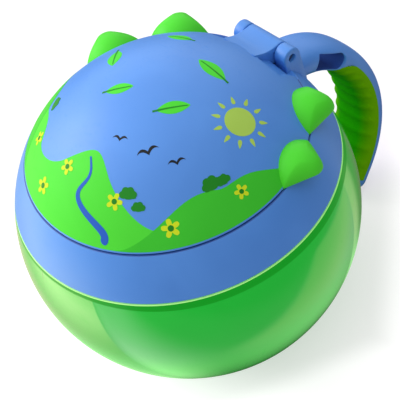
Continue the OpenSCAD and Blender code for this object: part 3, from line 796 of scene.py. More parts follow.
def slot_shade_mask(where):
    """Where shade is painted inside the handle's slot: near its middle line, past its flat end and
    between the sides.
    """
    moved = vector_maths("ADD", where, (0, -slot_at[0] / 1000, -(slot_at[1] + CENTRE_UP) / 1000))
    run, up = (vector_maths("DOT_PRODUCT", moved, (0, *axis)) for axis in (slot_u, slot_v))
    past = maths("MAXIMUM", run - SLOT_LEN / 1000, 0.0)
    far = maths("SQRT", maths("POWER", past, 2.0) + up * up)
    inside = ramp(far, (HALF_H + 0.15) / 1000, (HALF_H + 0.05) / 1000) * ramp(run, -0.00015, -0.00005)
    half_w = HANDLE_W / 2000
    return inside * ramp(abs(axes(where)[0]), half_w - 0.0006, half_w - 0.0010)


# Painted shade: a darker, duller blue inside the strap slot, where little light reaches.
paint_shade(body_blue, slot_shade_mask, linear(26, 74, 160), duller=0.5)
build("collar_shell", collar_parts, "collar_assembly", body_blue, ["collar"])

# %% [markdown]
# ## The soft grip
# Green rubber is moulded over the handle's inner face and sides. It stands slightly proud of the
# blue bar, its rim is rounded, and ten soft ridges cross it for the fingers. Its outside and its
# hidden inside are one sheet folded at the rim, both offset from the bar's own section.

# %% Grip surface
GRIP_PROUD, GRIP_DEEP, GRIP_RIM, SUNK_RIM = 0.14, 0.9, 0.5, -0.35
RIDGES, RIDGE_HIGH, RIDGE_LOW = 10, 0.3, 0.1
edge_a, edge_part = np.array([0, .4, 1, 1.8, 2.8, 4, 5.5]), np.array([0, .0015, .004, .007, .011])
grip_a = np.concatenate([GRIP_FROM + edge_a, np.arange(95, 266, 3.4), GRIP_TO - edge_a[::-1]])
part = np.concatenate([edge_part, np.linspace(.02, .98, 150), 1 - edge_part[::-1]])[:, None]
grip_from, grip_to = grip_top(section(grip_a)[0]), TIP_S - 0.05
grip_s = grip_from + (grip_to - grip_from) * part
grip_all = grip_a + 0 * grip_s
depth = np.minimum(np.minimum(from_sides(grip_all), grip_s - grip_from), grip_to - grip_s)
dome = round_edge(depth, GRIP_RIM)
wave = np.cos(part * TAU * RIDGES) * smooth((depth - 0.6) / 2.5)
across_grip = 0.3 + 0.7 * smooth((100 - np.abs(grip_all - 180)) / 45)
ridge = np.where(wave > 0, RIDGE_HIGH, RIDGE_LOW) * wave * across_grip


def beside_slot(yz):
    """Pushes points out of the strap slot: away from its middle line, to half its height plus
    SLOT_CLEAR. Points further off stay where they are."""
    past, across, far = from_slot(yz)
    push = np.maximum(HALF_H + SLOT_CLEAR - far, 0) / np.maximum(far, 1e-6)
    return yz + (past * push)[..., None] * slot_u + (across * push)[..., None] * slot_v


def grip_sheet(grow):
    """A sheet that stands off the bar's own section by grow."""
    n, x = section(grip_all, grow)
    yz = beside_slot(place(grip_s, n))
    return patch(np.stack([x, yz[..., 0], yz[..., 1]], -1), round_columns=False)


sheets = [grip_sheet(SUNK_RIM + (GRIP_PROUD - SUNK_RIM) * dome + ridge),
          grip_sheet(SUNK_RIM - (GRIP_DEEP + SUNK_RIM) * dome)]
build("handle_grip_rubber", sheets, "collar_assembly", grip_green, ["handle_grip"])

# %% [markdown]
# ## The lid's dome
# The dome is a grid of directions: one parameter goes round the axis and the other climbs from the
# lid's edge to the top. The edge is the seam, except behind, where a notch makes room for the
# hinge. Two shallow pockets beside the barrel are pressed into the same grid by a smooth step.

# %% Dome grid
NOTCH_Y, NOTCH_LEFT, NOTCH_RIGHT = 38.05, -12.2, 13.2
POCKET_Y, POCKET_IN, POCKET_DEEP, POCKET_CORNER = 33.1, 6.1, 1.0, 1.6
ROUND = 0.4
edge_rho = math.sqrt(BALL_R**2 - SEAM_HIGH**2)
side_deg = np.degrees(np.arctan2([NOTCH_LEFT, NOTCH_RIGHT], NOTCH_Y))
back_deg = np.concatenate([np.linspace(-22, 22, 177), np.linspace(22, 338, 190)[1:-1]])
back_rad = np.radians(back_deg)
signed_deg = (back_deg + 180) % 360 - 180
in_notch = smooth((signed_deg - side_deg[0]) / 0.9 + 1) * smooth((side_deg[1] - signed_deg) / 0.9 + 1)
rho = np.where(in_notch > 0, NOTCH_Y / np.cos(np.where(in_notch > 0, back_rad, 0)), edge_rho)
rho = edge_rho + (rho - edge_rho) * in_notch
east, north = np.sin(back_rad), np.cos(back_rad)
edge_up = np.sqrt(BALL_R**2 - rho**2)
edge_lat = np.arctan2(edge_up, rho)
rise = np.concatenate([np.linspace(0, 12, 56), np.linspace(12, 56.5, 56)[1:]]) / 56.5
lat = (edge_lat + ROUND / BALL_R) + (math.pi / 2 - edge_lat - ROUND / BALL_R) * rise[:, None]


def box_depth(x, y, x_low, x_high):
    """Signed distance inside a pocket's outline: a rectangle with round corners, open towards +y."""
    mid, half = (x_low + x_high) / 2, (x_high - x_low) / 2
    a, b = np.abs(x - mid) - half + POCKET_CORNER, (POCKET_Y - y) + POCKET_CORNER
    out = np.hypot(np.maximum(a, 0), np.maximum(b, 0)) + np.minimum(np.maximum(a, b), 0)
    return POCKET_CORNER - out


def dome_radius(x, y):
    """The ball's radius, less the pocket's depth inside either pocket."""
    right = box_depth(x, y, POCKET_IN, EAR_RIGHT + 3.0)
    left = box_depth(x, y, -EAR_LEFT - 3.0, -POCKET_IN)
    return BALL_R - POCKET_DEEP * smooth(np.maximum(right, left) / 0.5 + 0.5)


def facing(lat):
    """Unit vectors: cos(height angle) times the column's direction, and sin(height angle) up."""
    return np.stack([np.cos(lat) * east, np.cos(lat) * north, np.sin(lat)], -1)


out_dir = facing(lat)
radius = dome_radius(BALL_R * out_dir[..., 0], BALL_R * out_dir[..., 1])
outside = radius[..., None] * out_dir
edge_radius = dome_radius(rho * east, rho * north)
corner = np.stack([rho * east, rho * north, edge_up], -1) * (edge_radius / BALL_R)[:, None]
seam_in = math.sqrt(INNER_R**2 - SEAM_HIGH**2)
flat_in = np.stack([seam_in * east, seam_in * north, SEAM_HIGH + 0 * east], -1)
wall_in = np.stack([rho * east, rho * north, np.sqrt(np.clip(INNER_R**2 - rho**2, 0, None))], -1)
inner_edge = flat_in + (wall_in - flat_in) * in_notch[:, None]
towards = inner_edge - corner
towards /= np.linalg.norm(towards, axis=1, keepdims=True)
lip = bezier(outside[0], corner, corner + ROUND * towards, 6).transpose(1, 0, 2)
lat_in = np.arcsin(inner_edge[:, 2] / INNER_R)
lat_in = lat_in + (math.pi / 2 - lat_in) * np.linspace(0, 1, 36)[:, None]
dome_grid = np.concatenate([outside[::-1], lip[1:], INNER_R * facing(lat_in)])
print("dome grid", dome_grid.shape[:2])

# %% [markdown]
# ## The lid's barrel
# The middle knuckle belongs to the lid. A web ties it to the dome: its top leaves the dome along
# the dome's own slope and arrives level over the pin, so its line is a Hermite curve, which is
# fixed by two points and two slopes.

# %% Barrel and web
BARREL_HALF = 6.35
axis_yz = np.array([HINGE_Y, HINGE_UP])
t = np.linspace(0, 1, 30)[:, None]
p0, p1 = np.array([32.5, 38.0]), axis_yz + [0, KNUCKLE_R]
m0, m1 = 9.0 * np.array([1, -0.855]), 9.0 * np.array([1, 0])
web_top = ((2 * t**3 - 3 * t**2 + 1) * p0 + (t**3 - 2 * t**2 + t) * m0
           + (3 * t**2 - 2 * t**3) * p1 + (t**3 - t**2) * m1)
rear = np.radians(np.linspace(88, -100, 60))[:, None]
knuckle = axis_yz + KNUCKLE_R * np.concatenate([np.cos(rear), np.sin(rear)], 1)
web_under = np.array([[38.3, 29.6], [37.4, 30.5], [32.2, 37.0]])
barrel_shape = np.concatenate([web_top, knuckle, web_under]) - axis_yz
length, a, b = sleeve(outline_radius(dense(barrel_shape)), BARREL_HOLE_R, -BARREL_HALF, BARREL_HALF,
                      0.35, 0.15)
barrel = patch(np.stack([length, HINGE_Y + a, HINGE_UP + b], -1), round_rows=True)
build("lid_dome", [patch(dome_grid), barrel], "lid_assembly", body_blue, ["lid_shell"])

# %% [markdown]
# ## The lobes
# Four soft tabs stand out from the lid's edge like fins. Seen from above, a lobe is a round tip
# between two straight sides, and its top is part of a small ball. Its grid runs from the middle
# of the top out to the edge, over a small rounding, down the side and back under it.

# %% Lobe grid
TIP_R, SIDE, TIP_Y, BACK_Y, MIDDLE_Y = 3.2, math.radians(43.0), 45.2, 35.9, 42.0
CROWN_R, CROWN_Y, CROWN_UP = 9.65, 40.8, 24.3
LOBE_SOFT, LOBE_COLUMNS = 2.3, 144
spread = np.linspace(SIDE - math.pi / 2, math.pi / 2 - SIDE, 33)
round_tip = np.stack([-TIP_R * np.sin(spread), TIP_Y + TIP_R * np.cos(spread)], -1)
foot_x = TIP_R * math.cos(SIDE) + (TIP_Y + TIP_R * math.sin(SIDE) - BACK_Y) * math.tan(SIDE)
lobe_shape = np.concatenate([round_tip, [[-foot_x, BACK_Y], [foot_x, BACK_Y]]])
reach = outline_radius(dense(lobe_shape, 0.1) - [0, MIDDLE_Y], LOBE_COLUMNS)
angle = np.linspace(0, TAU, LOBE_COLUMNS, endpoint=False)


def lobe_xy(distance):
    """The point at that distance from the lobe's middle, in each column's direction."""
    return distance * np.cos(angle), MIDDLE_Y + distance * np.sin(angle)


def dome_at(distance, radius):
    """Height of a ball of that radius at the point, 0 beyond its edge."""
    return np.sqrt(np.clip(radius**2 - np.square(lobe_xy(distance)).sum(0), 0, None))


def top(distance):
    """Height of the crown's small ball, up + root(r^2 - x^2 - y^2), but never below the lid."""
    x, y = lobe_xy(distance)
    crown = CROWN_UP + np.sqrt(np.clip(CROWN_R**2 - x**2 - (y - CROWN_Y) ** 2, 0, None))
    return np.maximum(crown, dome_at(distance, 49.1))


def under(distance):
    """Height of the lower side: just inside the lid's skin, hidden above its edge."""
    hidden = SEAM_HIGH + 0.4 * smooth((41.5 - np.hypot(*lobe_xy(distance))) / 1.0)
    return np.maximum(hidden, dome_at(distance, 48.7))


def at(distance, height):
    return np.stack([*lobe_xy(distance), height], -1)


low = under(reach)
high = np.maximum(top(reach), low + 0.3)
soft = np.clip(0.6 * (high - low), 0.1, LOBE_SOFT)
rows = [at(f * (reach - soft), top(f * (reach - soft))) for f in (0, *np.linspace(0.1, 1, 12))]
wall_top = at(reach, np.maximum(high - soft * 1.3, low + 0.16))
rows += list(bezier(rows[-1], at(reach, high), wall_top, 12).transpose(1, 0, 2)[1:])
rows += [at(reach, low + 0.1), at(reach - 0.03, low + 0.03), at(reach - 0.1, low)]
rows += [at(reach * f, under(reach * f)) for f in (0.85, 0.7, 0.55, 0.4, 0.2, 0)]
rows = np.array(rows)
for node, back_angle in (("lobe_front_right", 68.5), ("lobe_rear_right", 40.3),
                         ("lobe_front_left", -68.5), ("lobe_rear_left", -40.3)):
    c, s = math.cos(math.radians(-back_angle)), math.sin(math.radians(-back_angle))
    turned_rows = rows @ np.array([[c, s, 0], [-s, c, 0], [0, 0, 1]])
    build(node + "_tab", [patch(turned_rows)], "lid_assembly", lobe_green, [node])

# %% [markdown]
# ## Inside the lid and the mouth
# The liner closes the dome from below and carries the plug. Two soft seals, the guard ring and the
# retainer that clamps it are plain rings with rounded edges. The guard's hole has six sides, one
# for each flap.

# %% Liner, seals and guard ring
liner_profile = rounded(
    [[0, 29.275], [30.62, 29.275], [30.62, 25.3], [32.62, 25.3], [32.62, SEAM_HIGH], [37.4, SEAM_HIGH],
     [37.4, 29.575], [32.62, 29.575], [32.62, 30.775], [0, 30.775]],
    [0, 0.6, 0.35, 0.45, 0.3, 0.3, 0.3, 0.4, 0.4, 0])
build("lid_inner_cover", [turned(liner_profile)], "lid_assembly", inner_white, ["lid_liner"])
six = np.degrees(np.linspace(0, TAU, 240, endpoint=False))
hex_hole = 27.83 / np.cos(np.radians((six + 30) % 60 - 30))
GUARD_R, CLAMP_R, CLAMP_UP = 34.87, 32.47, 23.425
RINGS = [   # name, outer radius, hole radius, low, high, edge radius, body, slot, material, node
    ("lid_seal_ring", 38.44, 35.64, 27.125, SEAM_HIGH, 0.2,
     "lid_assembly", "seal_white", seal_white, "lid_seal"),
    ("neck_seal_ring", 40.57, NECK_HOLE_R + 0.2, 22.925, DECK_LOW, 0.35,
     "seal_ring", "seal_white", seal_white, "neck_seal"),
    ("guard_clamp_ring", GUARD_R, CLAMP_R, 21.025, CLAMP_UP, 0.35,
     "collar_assembly", "inner_white", inner_white, "guard_retainer"),
    ("guard_soft_ring", GUARD_R, hex_hole, CLAMP_UP, 24.525, 0.2,
     "collar_assembly", "guard_soft", guard_soft, "guard_ring")]
for name, outer, hole, low, high, edge, body, slot, material, node in RINGS:
    height, a, b = sleeve(outer, hole, low, high, edge)
    ring = patch(np.stack([a, b, height], -1), round_rows=True)
    build(name, [ring], body, material, [node])

# %% [markdown]
# ## The six soft flaps
# A child's hand pushes through them and they spring back. Each is a thin wedge like a small pillow:
# its half thickness is full inside and falls to nothing at the edge in a quarter circle, so top
# and bottom sheets meet there. It bends about its outer side, so each flap is its own piece.

# %% Flap wedges
FLAP_T, FLAP_AXIS_R, FLAP_MID, FLAP_BACK, FLAP_SLOPE = 0.9, 27.08, 23.975, 0.6, 0.5774
FLAP_TIP_R, FLAP_END = 2.5, FLAP_AXIS_R + FLAP_T / 2
v = np.sin(np.linspace(-1, 1, 49) * math.pi / 2)
u = (1 - np.cos(np.linspace(0, 1, 57) * math.pi)) / 2
# Each line of the grid starts where it meets the tip's circle: x^2 + (v slope (x - back))^2 = r^2.
slope = (FLAP_SLOPE * v) ** 2
qa, qb, qc = 1 + slope, -2 * slope * FLAP_BACK, slope * FLAP_BACK**2 - FLAP_TIP_R**2
x_from = (-qb + np.sqrt(qb**2 - 4 * qa * qc)) / (2 * qa)
flap_x = x_from + (FLAP_END - x_from) * u[:, None]
flap_y = v * (np.minimum(flap_x, FLAP_AXIS_R) - FLAP_BACK) * FLAP_SLOPE
to_side = (1 - np.abs(v)) * (flap_x - FLAP_BACK) * FLAP_SLOPE * 0.866
to_ends = np.minimum(flap_x - x_from, FLAP_END - flap_x)
half_t = FLAP_T / 2 * round_edge(np.minimum(to_side, to_ends), FLAP_T / 2)
for i in range(6):
    c, s = math.cos(math.radians(60 * i)), math.sin(math.radians(60 * i))
    x, y = flap_x * c - flap_y * s, flap_x * s + flap_y * c
    sheets = [patch(np.stack([x, y, FLAP_MID + side * half_t], -1), round_columns=False)
              for side in (1, -1)]
    build(f"guard_soft_flap_{i + 1}", sheets, f"guard_flap_{i + 1}_body", guard_soft,
          [f"guard_flap_{i + 1}"])

# %% [markdown]
# ## The hinge pin
# The pin is a plain steel rod with a screwdriver slot in each end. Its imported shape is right, so it
# stays and only gets its brushed finish.

# %% Pin finish
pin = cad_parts["hinge_pin"]
pin.data.materials.clear()
pin.data.materials.append(pin_steel)
print("hinge_pin keeps its mesh with", len(pin.data.polygons), "faces")

# %% [markdown]
# ## The printed landscape
# The print is ink a few hundredths of a millimetre thick. Each shape of it is a very thin pad that
# follows the dome: its outline is drawn in a flat plane that touches the ball and is thrown onto
# the ball from its centre. The scene is a plain one of hills, a stream, flowers, leaves and birds.

# %% Inks and the pads that carry them
INK_UNDER = 0.12


def ink(name, colour, deeper):
    return plastic(name, colour, deeper, 0.52, bump=0.08, sockets={"Specular IOR Level": 0.2})


def printed(name, shapes, material, close_ends=False):
    """One piece of the print: it rides on the lid."""
    build(name, shapes, "lid_assembly", material, close_ends=close_ends)


hill_green = ink("ink_hill_green", (76, 214, 50), (72, 208, 46))
meadow_green = ink("ink_meadow_green", (58, 194, 42), (54, 188, 38))
leaf_green = ink("ink_leaf_green", (26, 132, 26), (22, 126, 22))
stream_blue = ink("ink_stream_blue", (36, 92, 190), (32, 86, 182))
sun_lime = ink("ink_sun_lime", (170, 206, 88), (164, 200, 82))
flower_yellow = ink("ink_flower_yellow", (204, 222, 24), (196, 214, 20))
bird_black = ink("ink_bird_black", (28, 30, 34), (24, 26, 30))


def on_ball(lon, lat, radius):
    """A direction by its angle from the front towards the right, and its angle up."""
    lon, lat = np.radians(lon), np.radians(lat)
    flat = radius * np.cos(lat)
    return np.stack([flat * np.sin(lon), -flat * np.cos(lon), radius * np.sin(lat)], -1)


def thrown(plane, lon, lat, spin, radius):
    """Points (east, north) of a plane that touches the ball at (lon, lat), thrown onto a ball."""
    up = on_ball(lon, lat, 1.0)
    east = on_ball(lon + 90, 0, 1.0)
    north = np.cross(up, east)
    c, s = math.cos(math.radians(spin)), math.sin(math.radians(spin))
    p, q = plane[..., 0] * c - plane[..., 1] * s, plane[..., 0] * s + plane[..., 1] * c
    ray = BALL_R * up + p[..., None] * east + q[..., None] * north
    return ray / np.linalg.norm(ray, axis=-1, keepdims=True) * np.asarray(radius)[..., None]


def pad(outline, middle, lon, lat, spin, lift):
    """Rings from the middle to the outline at the ink's height, then down under the dome's skin."""
    outline, middle = np.asarray(outline, float), np.asarray(middle, float)
    size = np.abs(outline - middle).max()
    f = np.concatenate([np.linspace(0, 1, max(3, int(size / 1.6) + 2)), [1, 1, 0]])
    high = np.full(len(f), BALL_R + lift)
    high[-3], high[-2:] = BALL_R + lift * 0.6, BALL_R - INK_UNDER
    plane = middle + (outline - middle) * f[:, None, None]
    return patch(thrown(plane, lon, lat, spin, high[:, None] + 0 * plane[..., 0]))


def blob(radius_at, count=72):
    """A closed outline from its radius at each angle."""
    a = np.linspace(0, TAU, count, endpoint=False)
    r = radius_at(a)
    return np.stack([r * np.cos(a), r * np.sin(a)], -1)


def mirrored(x, y):
    """A closed outline from its upper half."""
    upper = np.stack([x, y], -1)
    return np.concatenate([upper, (upper * [1, -1])[::-1][1:-1]])


def ribbon(x, middle, half, lon, lat, spin, lift):
    """A strip of ink in the plane, half wide to either side of the line (x, middle)."""
    rows = np.stack([np.stack([x, middle + half * f], -1) for f in (-1, -1, 0, 1, 1)], 1)
    high = BALL_R + np.array([-INK_UNDER, lift, lift, lift, -INK_UNDER])
    return patch(thrown(rows, lon, lat, spin, high + 0 * rows[..., 0]))


def stripe(lon, lat, width, lift):
    """A thin line of ink along a curve on the dome, with a round end at either side."""
    line = on_ball(lon, lat, 1.0)
    across = np.cross(line, np.gradient(line, axis=0))
    across /= np.linalg.norm(across, axis=1, keepdims=True)
    run = np.concatenate([[0], np.cumsum(np.linalg.norm(np.diff(line, axis=0), axis=1))]) * BALL_R
    half = width / 2 * round_edge(np.minimum(run, run[-1] - run), width / 2)
    f = np.array([-1, -1, -.5, 0, .5, 1, 1])
    high = BALL_R + np.array([-INK_UNDER, lift, lift, lift, lift, lift, -INK_UNDER])
    rows = line[:, None] + (half[:, None] * f)[..., None] * across[:, None] / BALL_R
    rows /= np.linalg.norm(rows, axis=-1, keepdims=True)
    return patch(rows * high[:, None])


# %% Hills and stream
HILL_BASE = 34.95


def hills(lon_low, lon_high, lift, humps):
    """A band over a level base line. Its top line is a sum of hills: each is (middle, half width,
    height) and rises as a power of the cosine."""
    lon = np.linspace(lon_low, lon_high, 180)
    top = 0 * lon
    for middle, half, height in humps:
        top = top + height * np.cos(np.clip((lon - middle) / half, -1, 1) * math.pi / 2) ** 1.5
    low = HILL_BASE + 0 * lon
    lat = low + np.maximum(top, 0.05) * np.linspace(0, 1, 24)[:, None]
    up = on_ball(lon + 0 * lat, lat, BALL_R + lift)
    lower, upper = (on_ball(lon, one, BALL_R - INK_UNDER)[None] for one in (low, lat[-1]))
    return patch(np.concatenate([lower, up, upper]), round_rows=True, round_columns=False)


far = hills(-100, 118, 0.04, [(2, 44, 29), (-52, 34, 15), (-84, 22, 8), (62, 44, 8)])
near = [hills(26, 116, 0.07, [(66, 40, 14), (96, 20, 6)]), hills(-112, -38, 0.07, [(-72, 34, 13)])]
printed("print_far_hills", [far], hill_green, close_ends=True)
printed("print_near_hills", near, meadow_green, close_ends=True)
t = np.linspace(0, 1, 160)
fall = 61.5 - 25.0 * t
sway = -2 + 19 * t + (3.2 + 3.2 * t) * np.sin(t * TAU * 1.35 + 0.4)
printed("print_stream", [stripe(sway, fall, 0.6 + 1.9 * t**1.3, 0.10)], stream_blue)

# %% Sun and flowers
SUN, RAYS = (112, 58), 11
x = np.linspace(-1, 1, 25)
ray = mirrored(x * 1.35, 0.52 * np.sqrt(1 - x**2) * (1 - 0.62 * x))
sun = [pad(blob(lambda a: 4.5 + 0 * a), [0, 0], *SUN, 0, 0.05)]
sun += [pad(ray + [7.0, 0], [6.6, 0], *SUN, 360 / RAYS * k + 8, 0.05) for k in range(RAYS)]
printed("print_sun", sun, sun_lime)
FLOWERS = [(-12, 54, 10, 1.05), (-20, 42.5, 40, 1.15), (24, 50.5, 0, 1.1), (50, 41.5, 25, 1.2),
           (84, 43, 15, 0.95), (-46, 46, 30, 1.0)]


def petals(lon, lat, spin, size):
    """Five round petals: radius = a + b cos(5 angle), with a soft notch between two of them."""
    shape = blob(lambda a: size * (1.75 + 0.62 * np.cos(5 * a) - 0.12 * np.cos(10 * a)), 90)
    return pad(shape, [0, 0], lon, lat, spin, 0.11)


printed("print_flowers", [petals(*f) for f in FLOWERS], flower_yellow)
hearts = [pad(blob(lambda a: 0.72 * f[3] + 0 * a, 36), [0, 0], *f[:3], 0.15) for f in FLOWERS]
printed("print_flower_hearts", hearts, leaf_green)

# %% Leaves, bushes and birds
def leaf(length, width):
    """Two arcs that meet in points: half width falls as cosine along the leaf."""
    x = np.linspace(-1, 1, 31)
    return mirrored(x * length / 2, width / 2 * np.cos(x * math.pi / 2) ** 0.8)


def vein(lon, lat, spin, length):
    """The leaf's middle line, a little raised, wider at the stalk."""
    x = np.linspace(-0.62, 0.42, 20)
    return ribbon(x * length, 0, 0.16 * (1.3 - x), lon, lat, spin, 0.09)


LEAVES = [(158, 68, 20, 11, 4.8), (88, 78, -35, 9.5, 4.2), (-104, 64, 60, 10, 4.4),
          (-150, 58, -20, 9, 4.0), (-60, 80, 100, 8.5, 3.8)]
leaves = [pad(leaf(a, b), [0, 0], lon, lat, s, 0.05) for lon, lat, s, a, b in LEAVES]
printed("print_leaves", leaves, hill_green)
veins = [vein(lon, lat, s, a) for lon, lat, s, a, b in LEAVES]
printed("print_leaf_veins", veins, leaf_green, close_ends=True)


def bush(lon, lat, size):
    """Clipped round clumps: radius = size * (1 + a |sin 3.5 angle|), flat where it meets the hill."""
    shape = blob(lambda a: size * (1 + 0.16 * np.abs(np.sin(3.5 * a + 0.6))), 126)
    shape[:, 1] = np.where(shape[:, 1] < 0, shape[:, 1] * 0.35, shape[:, 1])
    return pad(shape, [0, size * 0.2], lon, lat, 0, 0.10)


BUSHES = [(31, 52.6, 2.3), (36.5, 48.6, 1.8), (-64, 50.5, 2.2), (74, 49.3, 2.6), (80, 48.6, 1.9)]
printed("print_bushes", [bush(*one) for one in BUSHES], leaf_green)


def bird(lon, lat, span, spin):
    """Two raised wings: height is a * |x| * (b - |x|), narrow at the tips."""
    x = np.linspace(-1, 1, 41)
    middle = np.abs(x) * (1.15 - np.abs(x)) * span * 0.62
    half = span * 0.085 * (1 - x**2) + 0.03
    return ribbon(x * span / 2, middle, half, lon, lat, spin, 0.05)


BIRDS = [(44, 66, 6.4, 14), (62, 60.5, 5.0, -4), (16, 70, 4.6, 8)]
printed("print_birds", [bird(*one) for one in BIRDS], bird_black, close_ends=True)

# %% [markdown]
# ## Floor and light
# The floor is a wide pale sheet. It takes the object's shadow as any matt paper does, and to the
# camera it adds a little plain light of its own, so that paper without shadow reads as white.
# Glossy surfaces see it brighter in some parts and darker in others, as they would see a studio's
# white cards, and they also see a painted shadow and a painted green glow round the ball's foot.
# A large soft lamp stands far off on the front left, and the white world fills the rest at a plain
# level.

# %% Where the floor glows
FRONT, BACK, RIGHT, LEFT = (0, -1), (0, 1), (1, 0), (-1, 0)
CAMERA_GLOW, GLOSSY_GLOW = 0.53, 0.35
paper = bpy.data.materials.new("floor_paper")
paper.use_nodes = True
floor_spot = add(paper.node_tree, "ShaderNodeTexCoord", out="Object")
floor_x, floor_y, _ = axes(floor_spot)
from_middle = vector_maths("LENGTH", floor_spot)


def beyond(across, low, high, start=(0, 0)):
    """0 to 1 mask: how far a floor point lies from a line through start, along the direction
    across, counted from low to high. All lengths are metres."""
    zero = start[0] * across[0] + start[1] * across[1]
    return ramp(floor_x * across[0] + floor_y * across[1], zero + low, zero + high)


# Bright paper left of a slanting line, brighter still far in front.
left_line, left_across = (0.010, -0.047), (0.96, -0.2806)
left_of = beyond(left_across, 0.001, -0.001, left_line)
left_sheet = left_of * (beyond(FRONT, 0.058, 0.118) * 2.7 + 0.45)
# A slope of light in front that falls off to the right of that line.
slope = beyond(RIGHT, 0.060, 0.012) - left_of
slope = slope * beyond(left_across, -0.006, 0.008, left_line)
slope = maths("MAXIMUM", slope, 0.0) * beyond(FRONT, 0.020, 0.050) * 1.3
# A bright band on the right, which ends at a slanting line and 125 mm from the middle. Far to the
# right the paper is a little darker.
band = beyond(RIGHT, 0.030, 0.066) * beyond((0.82, -0.57), 0.004, -0.008, (0.065, -0.020))
band = band * beyond(BACK, -0.050, -0.020)
band = band * ramp(from_middle, 0.132, 0.118)
bright = left_sheet + slope + band * 0.75 + GLOSSY_GLOW - beyond(RIGHT, 0.085, 0.130) * 0.15
# Seen only in reflections: painted shade behind the ball, painted light near the foot, which is
# tinted green below and stands in for light coming through the bowl, and a painted shadow right at
# the foot, except in front.
painted_shade_behind = beyond(LEFT, -0.038, -0.024) * beyond(BACK, 0.030, 0.055)
painted_green_glow = ramp(from_middle, 0.075, 0.045)
outside_painted_foot_shadow = maths("MAXIMUM", ramp(from_middle, 0.028, 0.050), beyond(FRONT, 0.012, 0.038))
bright = bright * (1.0 - painted_shade_behind * 0.8) * (1.0 + painted_green_glow * 0.35) * outside_painted_foot_shadow
# To the camera: plain light, with a little more in front, and more beyond two lines on the right
# that bound the soft shadow.
outside = maths("MAXIMUM", beyond((0.767, 0.642), -0.005, 0.006, (0.041, 0.030)),
                beyond((0.90, -0.43), -0.005, 0.006, (0.043, 0)))
camera_glow = beyond(FRONT, 0.004, 0.034) * 0.22 + CAMERA_GLOW + outside * 0.18

# %% Floor
seen = paper.node_tree.nodes.new("ShaderNodeLightPath").outputs
by_camera, by_gloss = Wire(seen["Is Camera Ray"]), Wire(seen["Is Glossy Ray"])
warm = by_gloss * maths("MAXIMUM", left_of, band)
glow_tone = mix(warm, (1, 1, 1, 1), (1, 0.95, 0.62, 1))
matt = paper.node_tree.nodes["Principled BSDF"].inputs
matt["Roughness"].default_value = 0.9
matt["Specular IOR Level"].default_value = 0.05
feed(matt["Base Color"], mix(by_gloss, (0.5, 0.455, 0.49, 1), (0.04, 0.04, 0.04, 1)))
# Painted green glow near the foot, seen only in reflections.
feed(matt["Emission Color"], mix(painted_green_glow * by_gloss, glow_tone, (0.5, 1, 0.42, 1)))
feed(matt["Emission Strength"], by_camera * camera_glow + by_gloss * bright)
FLOOR_HALF = 3.0
mesh = bpy.data.meshes.new("floor_sheet")
corners = FLOOR_HALF * np.array([[-1, -1, 0], [1, -1, 0], [1, 1, 0], [-1, 1, 0]])
mesh.from_pydata(corners.tolist(), [], [(0, 1, 2, 3)])
mesh.materials.append(paper)
sheet = bpy.data.objects.new("floor_sheet", mesh)
bpy.context.scene.collection.objects.link(sheet)
print("floor is", 2 * FLOOR_HALF, "m wide")

# %% World and lamp
world = bpy.data.worlds.new("studio_white")
bpy.context.scene.world = world
world.use_nodes = True
sky = world.node_tree
seen = sky.nodes.new("ShaderNodeLightPath").outputs
back = sky.nodes["Background"].inputs
back["Color"].default_value = (1, 1, 1, 1)
SKY_TOWARDS, SKY_LOW, SKY_HIGH = (-0.52, -0.46, 0.72), 0.1, 1.3
SHINE_TOWARDS, SHINE_HIGH = (-0.80, 0.10, 0.59), 1.7
direction_of = add(sky, "ShaderNodeTexCoord", out="Generated")
lean = vector_maths("DOT_PRODUCT", direction_of, SKY_TOWARDS)
side = add(sky, "ShaderNodeMapRange", {"Value": lean, "From Min": -1.0, "To Min": SKY_LOW,
                                       "To Max": SKY_HIGH}, "Result")
shine = ramp(vector_maths("DOT_PRODUCT", direction_of, SHINE_TOWARDS), -0.1, 0.9, 0.0, SHINE_HIGH)
level = add(sky, "ShaderNodeMix", {"Factor": Wire(seen["Is Glossy Ray"]), "A": side, "B": shine}, "Result")
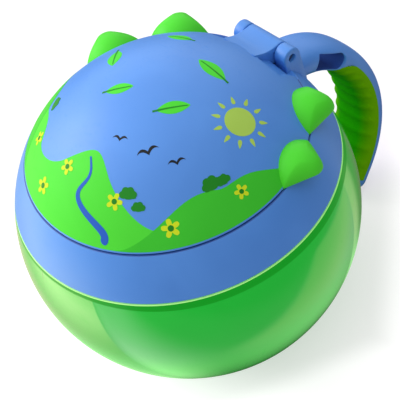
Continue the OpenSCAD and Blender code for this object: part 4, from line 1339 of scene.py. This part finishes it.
level = add(sky, "ShaderNodeMix", {"Factor": Wire(seen["Is Camera Ray"]), "A": level, "B": 1.0}, "Result")
feed(back["Strength"], level)

LAMP_AT, LAMP_AIM = Vector((-1.40, -0.72, 0.90)), Vector((0, 0, 0.045))
light = bpy.data.lights.new("key_lamp", "AREA")
light.shape = "RECTANGLE"
light.size, light.size_y, light.energy = 1.4, 1.0, 18.0
lamp = bpy.data.objects.new("key_lamp", light)
bpy.context.scene.collection.objects.link(lamp)
lamp.location = LAMP_AT
lamp.rotation_euler = (LAMP_AIM - LAMP_AT).to_track_quat("-Z", "Y").to_euler()
lamp.visible_camera = False
print("lamp is", round((LAMP_AT - LAMP_AIM).length, 2), "m away")

# %% [markdown]
# ## The camera
# A long lens from the front right, well above the table. It leans a little, so the ball's axis
# tilts to the left in the picture.

# %% Camera
AZIMUTH, RAISED, LEAN = (math.radians(v) for v in (59.95, 46.99, 19.01))
CAMERA_AWAY = 0.8
back_dir = np.array([math.sin(AZIMUTH) * math.cos(RAISED), -math.cos(AZIMUTH) * math.cos(RAISED),
                     math.sin(RAISED)])
level_right = np.array([math.cos(AZIMUTH), math.sin(AZIMUTH), 0])
level_up = np.cross(back_dir, level_right)
cam_x = level_right * math.cos(LEAN) - level_up * math.sin(LEAN)
cam_y = level_right * math.sin(LEAN) + level_up * math.cos(LEAN)
lens = bpy.data.cameras.new("camera")
lens.lens, lens.sensor_width = 249.5, 36.0
lens.shift_x, lens.shift_y = 0.0295, 0.0132
lens.clip_start, lens.clip_end = 0.05, 20.0
camera = bpy.data.objects.new("camera", lens)
bpy.context.scene.collection.objects.link(camera)
place_at = np.array([0, 0, CENTRE_UP / 1000]) + CAMERA_AWAY * back_dir
turn_and_place = np.eye(4)
turn_and_place[:3] = np.stack([cam_x, cam_y, back_dir, place_at], 1)
camera.matrix_world = Matrix(turn_and_place)
bpy.context.scene.camera = camera
bpy.context.scene.view_settings.view_transform = "Standard"
print("camera is", CAMERA_AWAY, "m from the ball's centre")
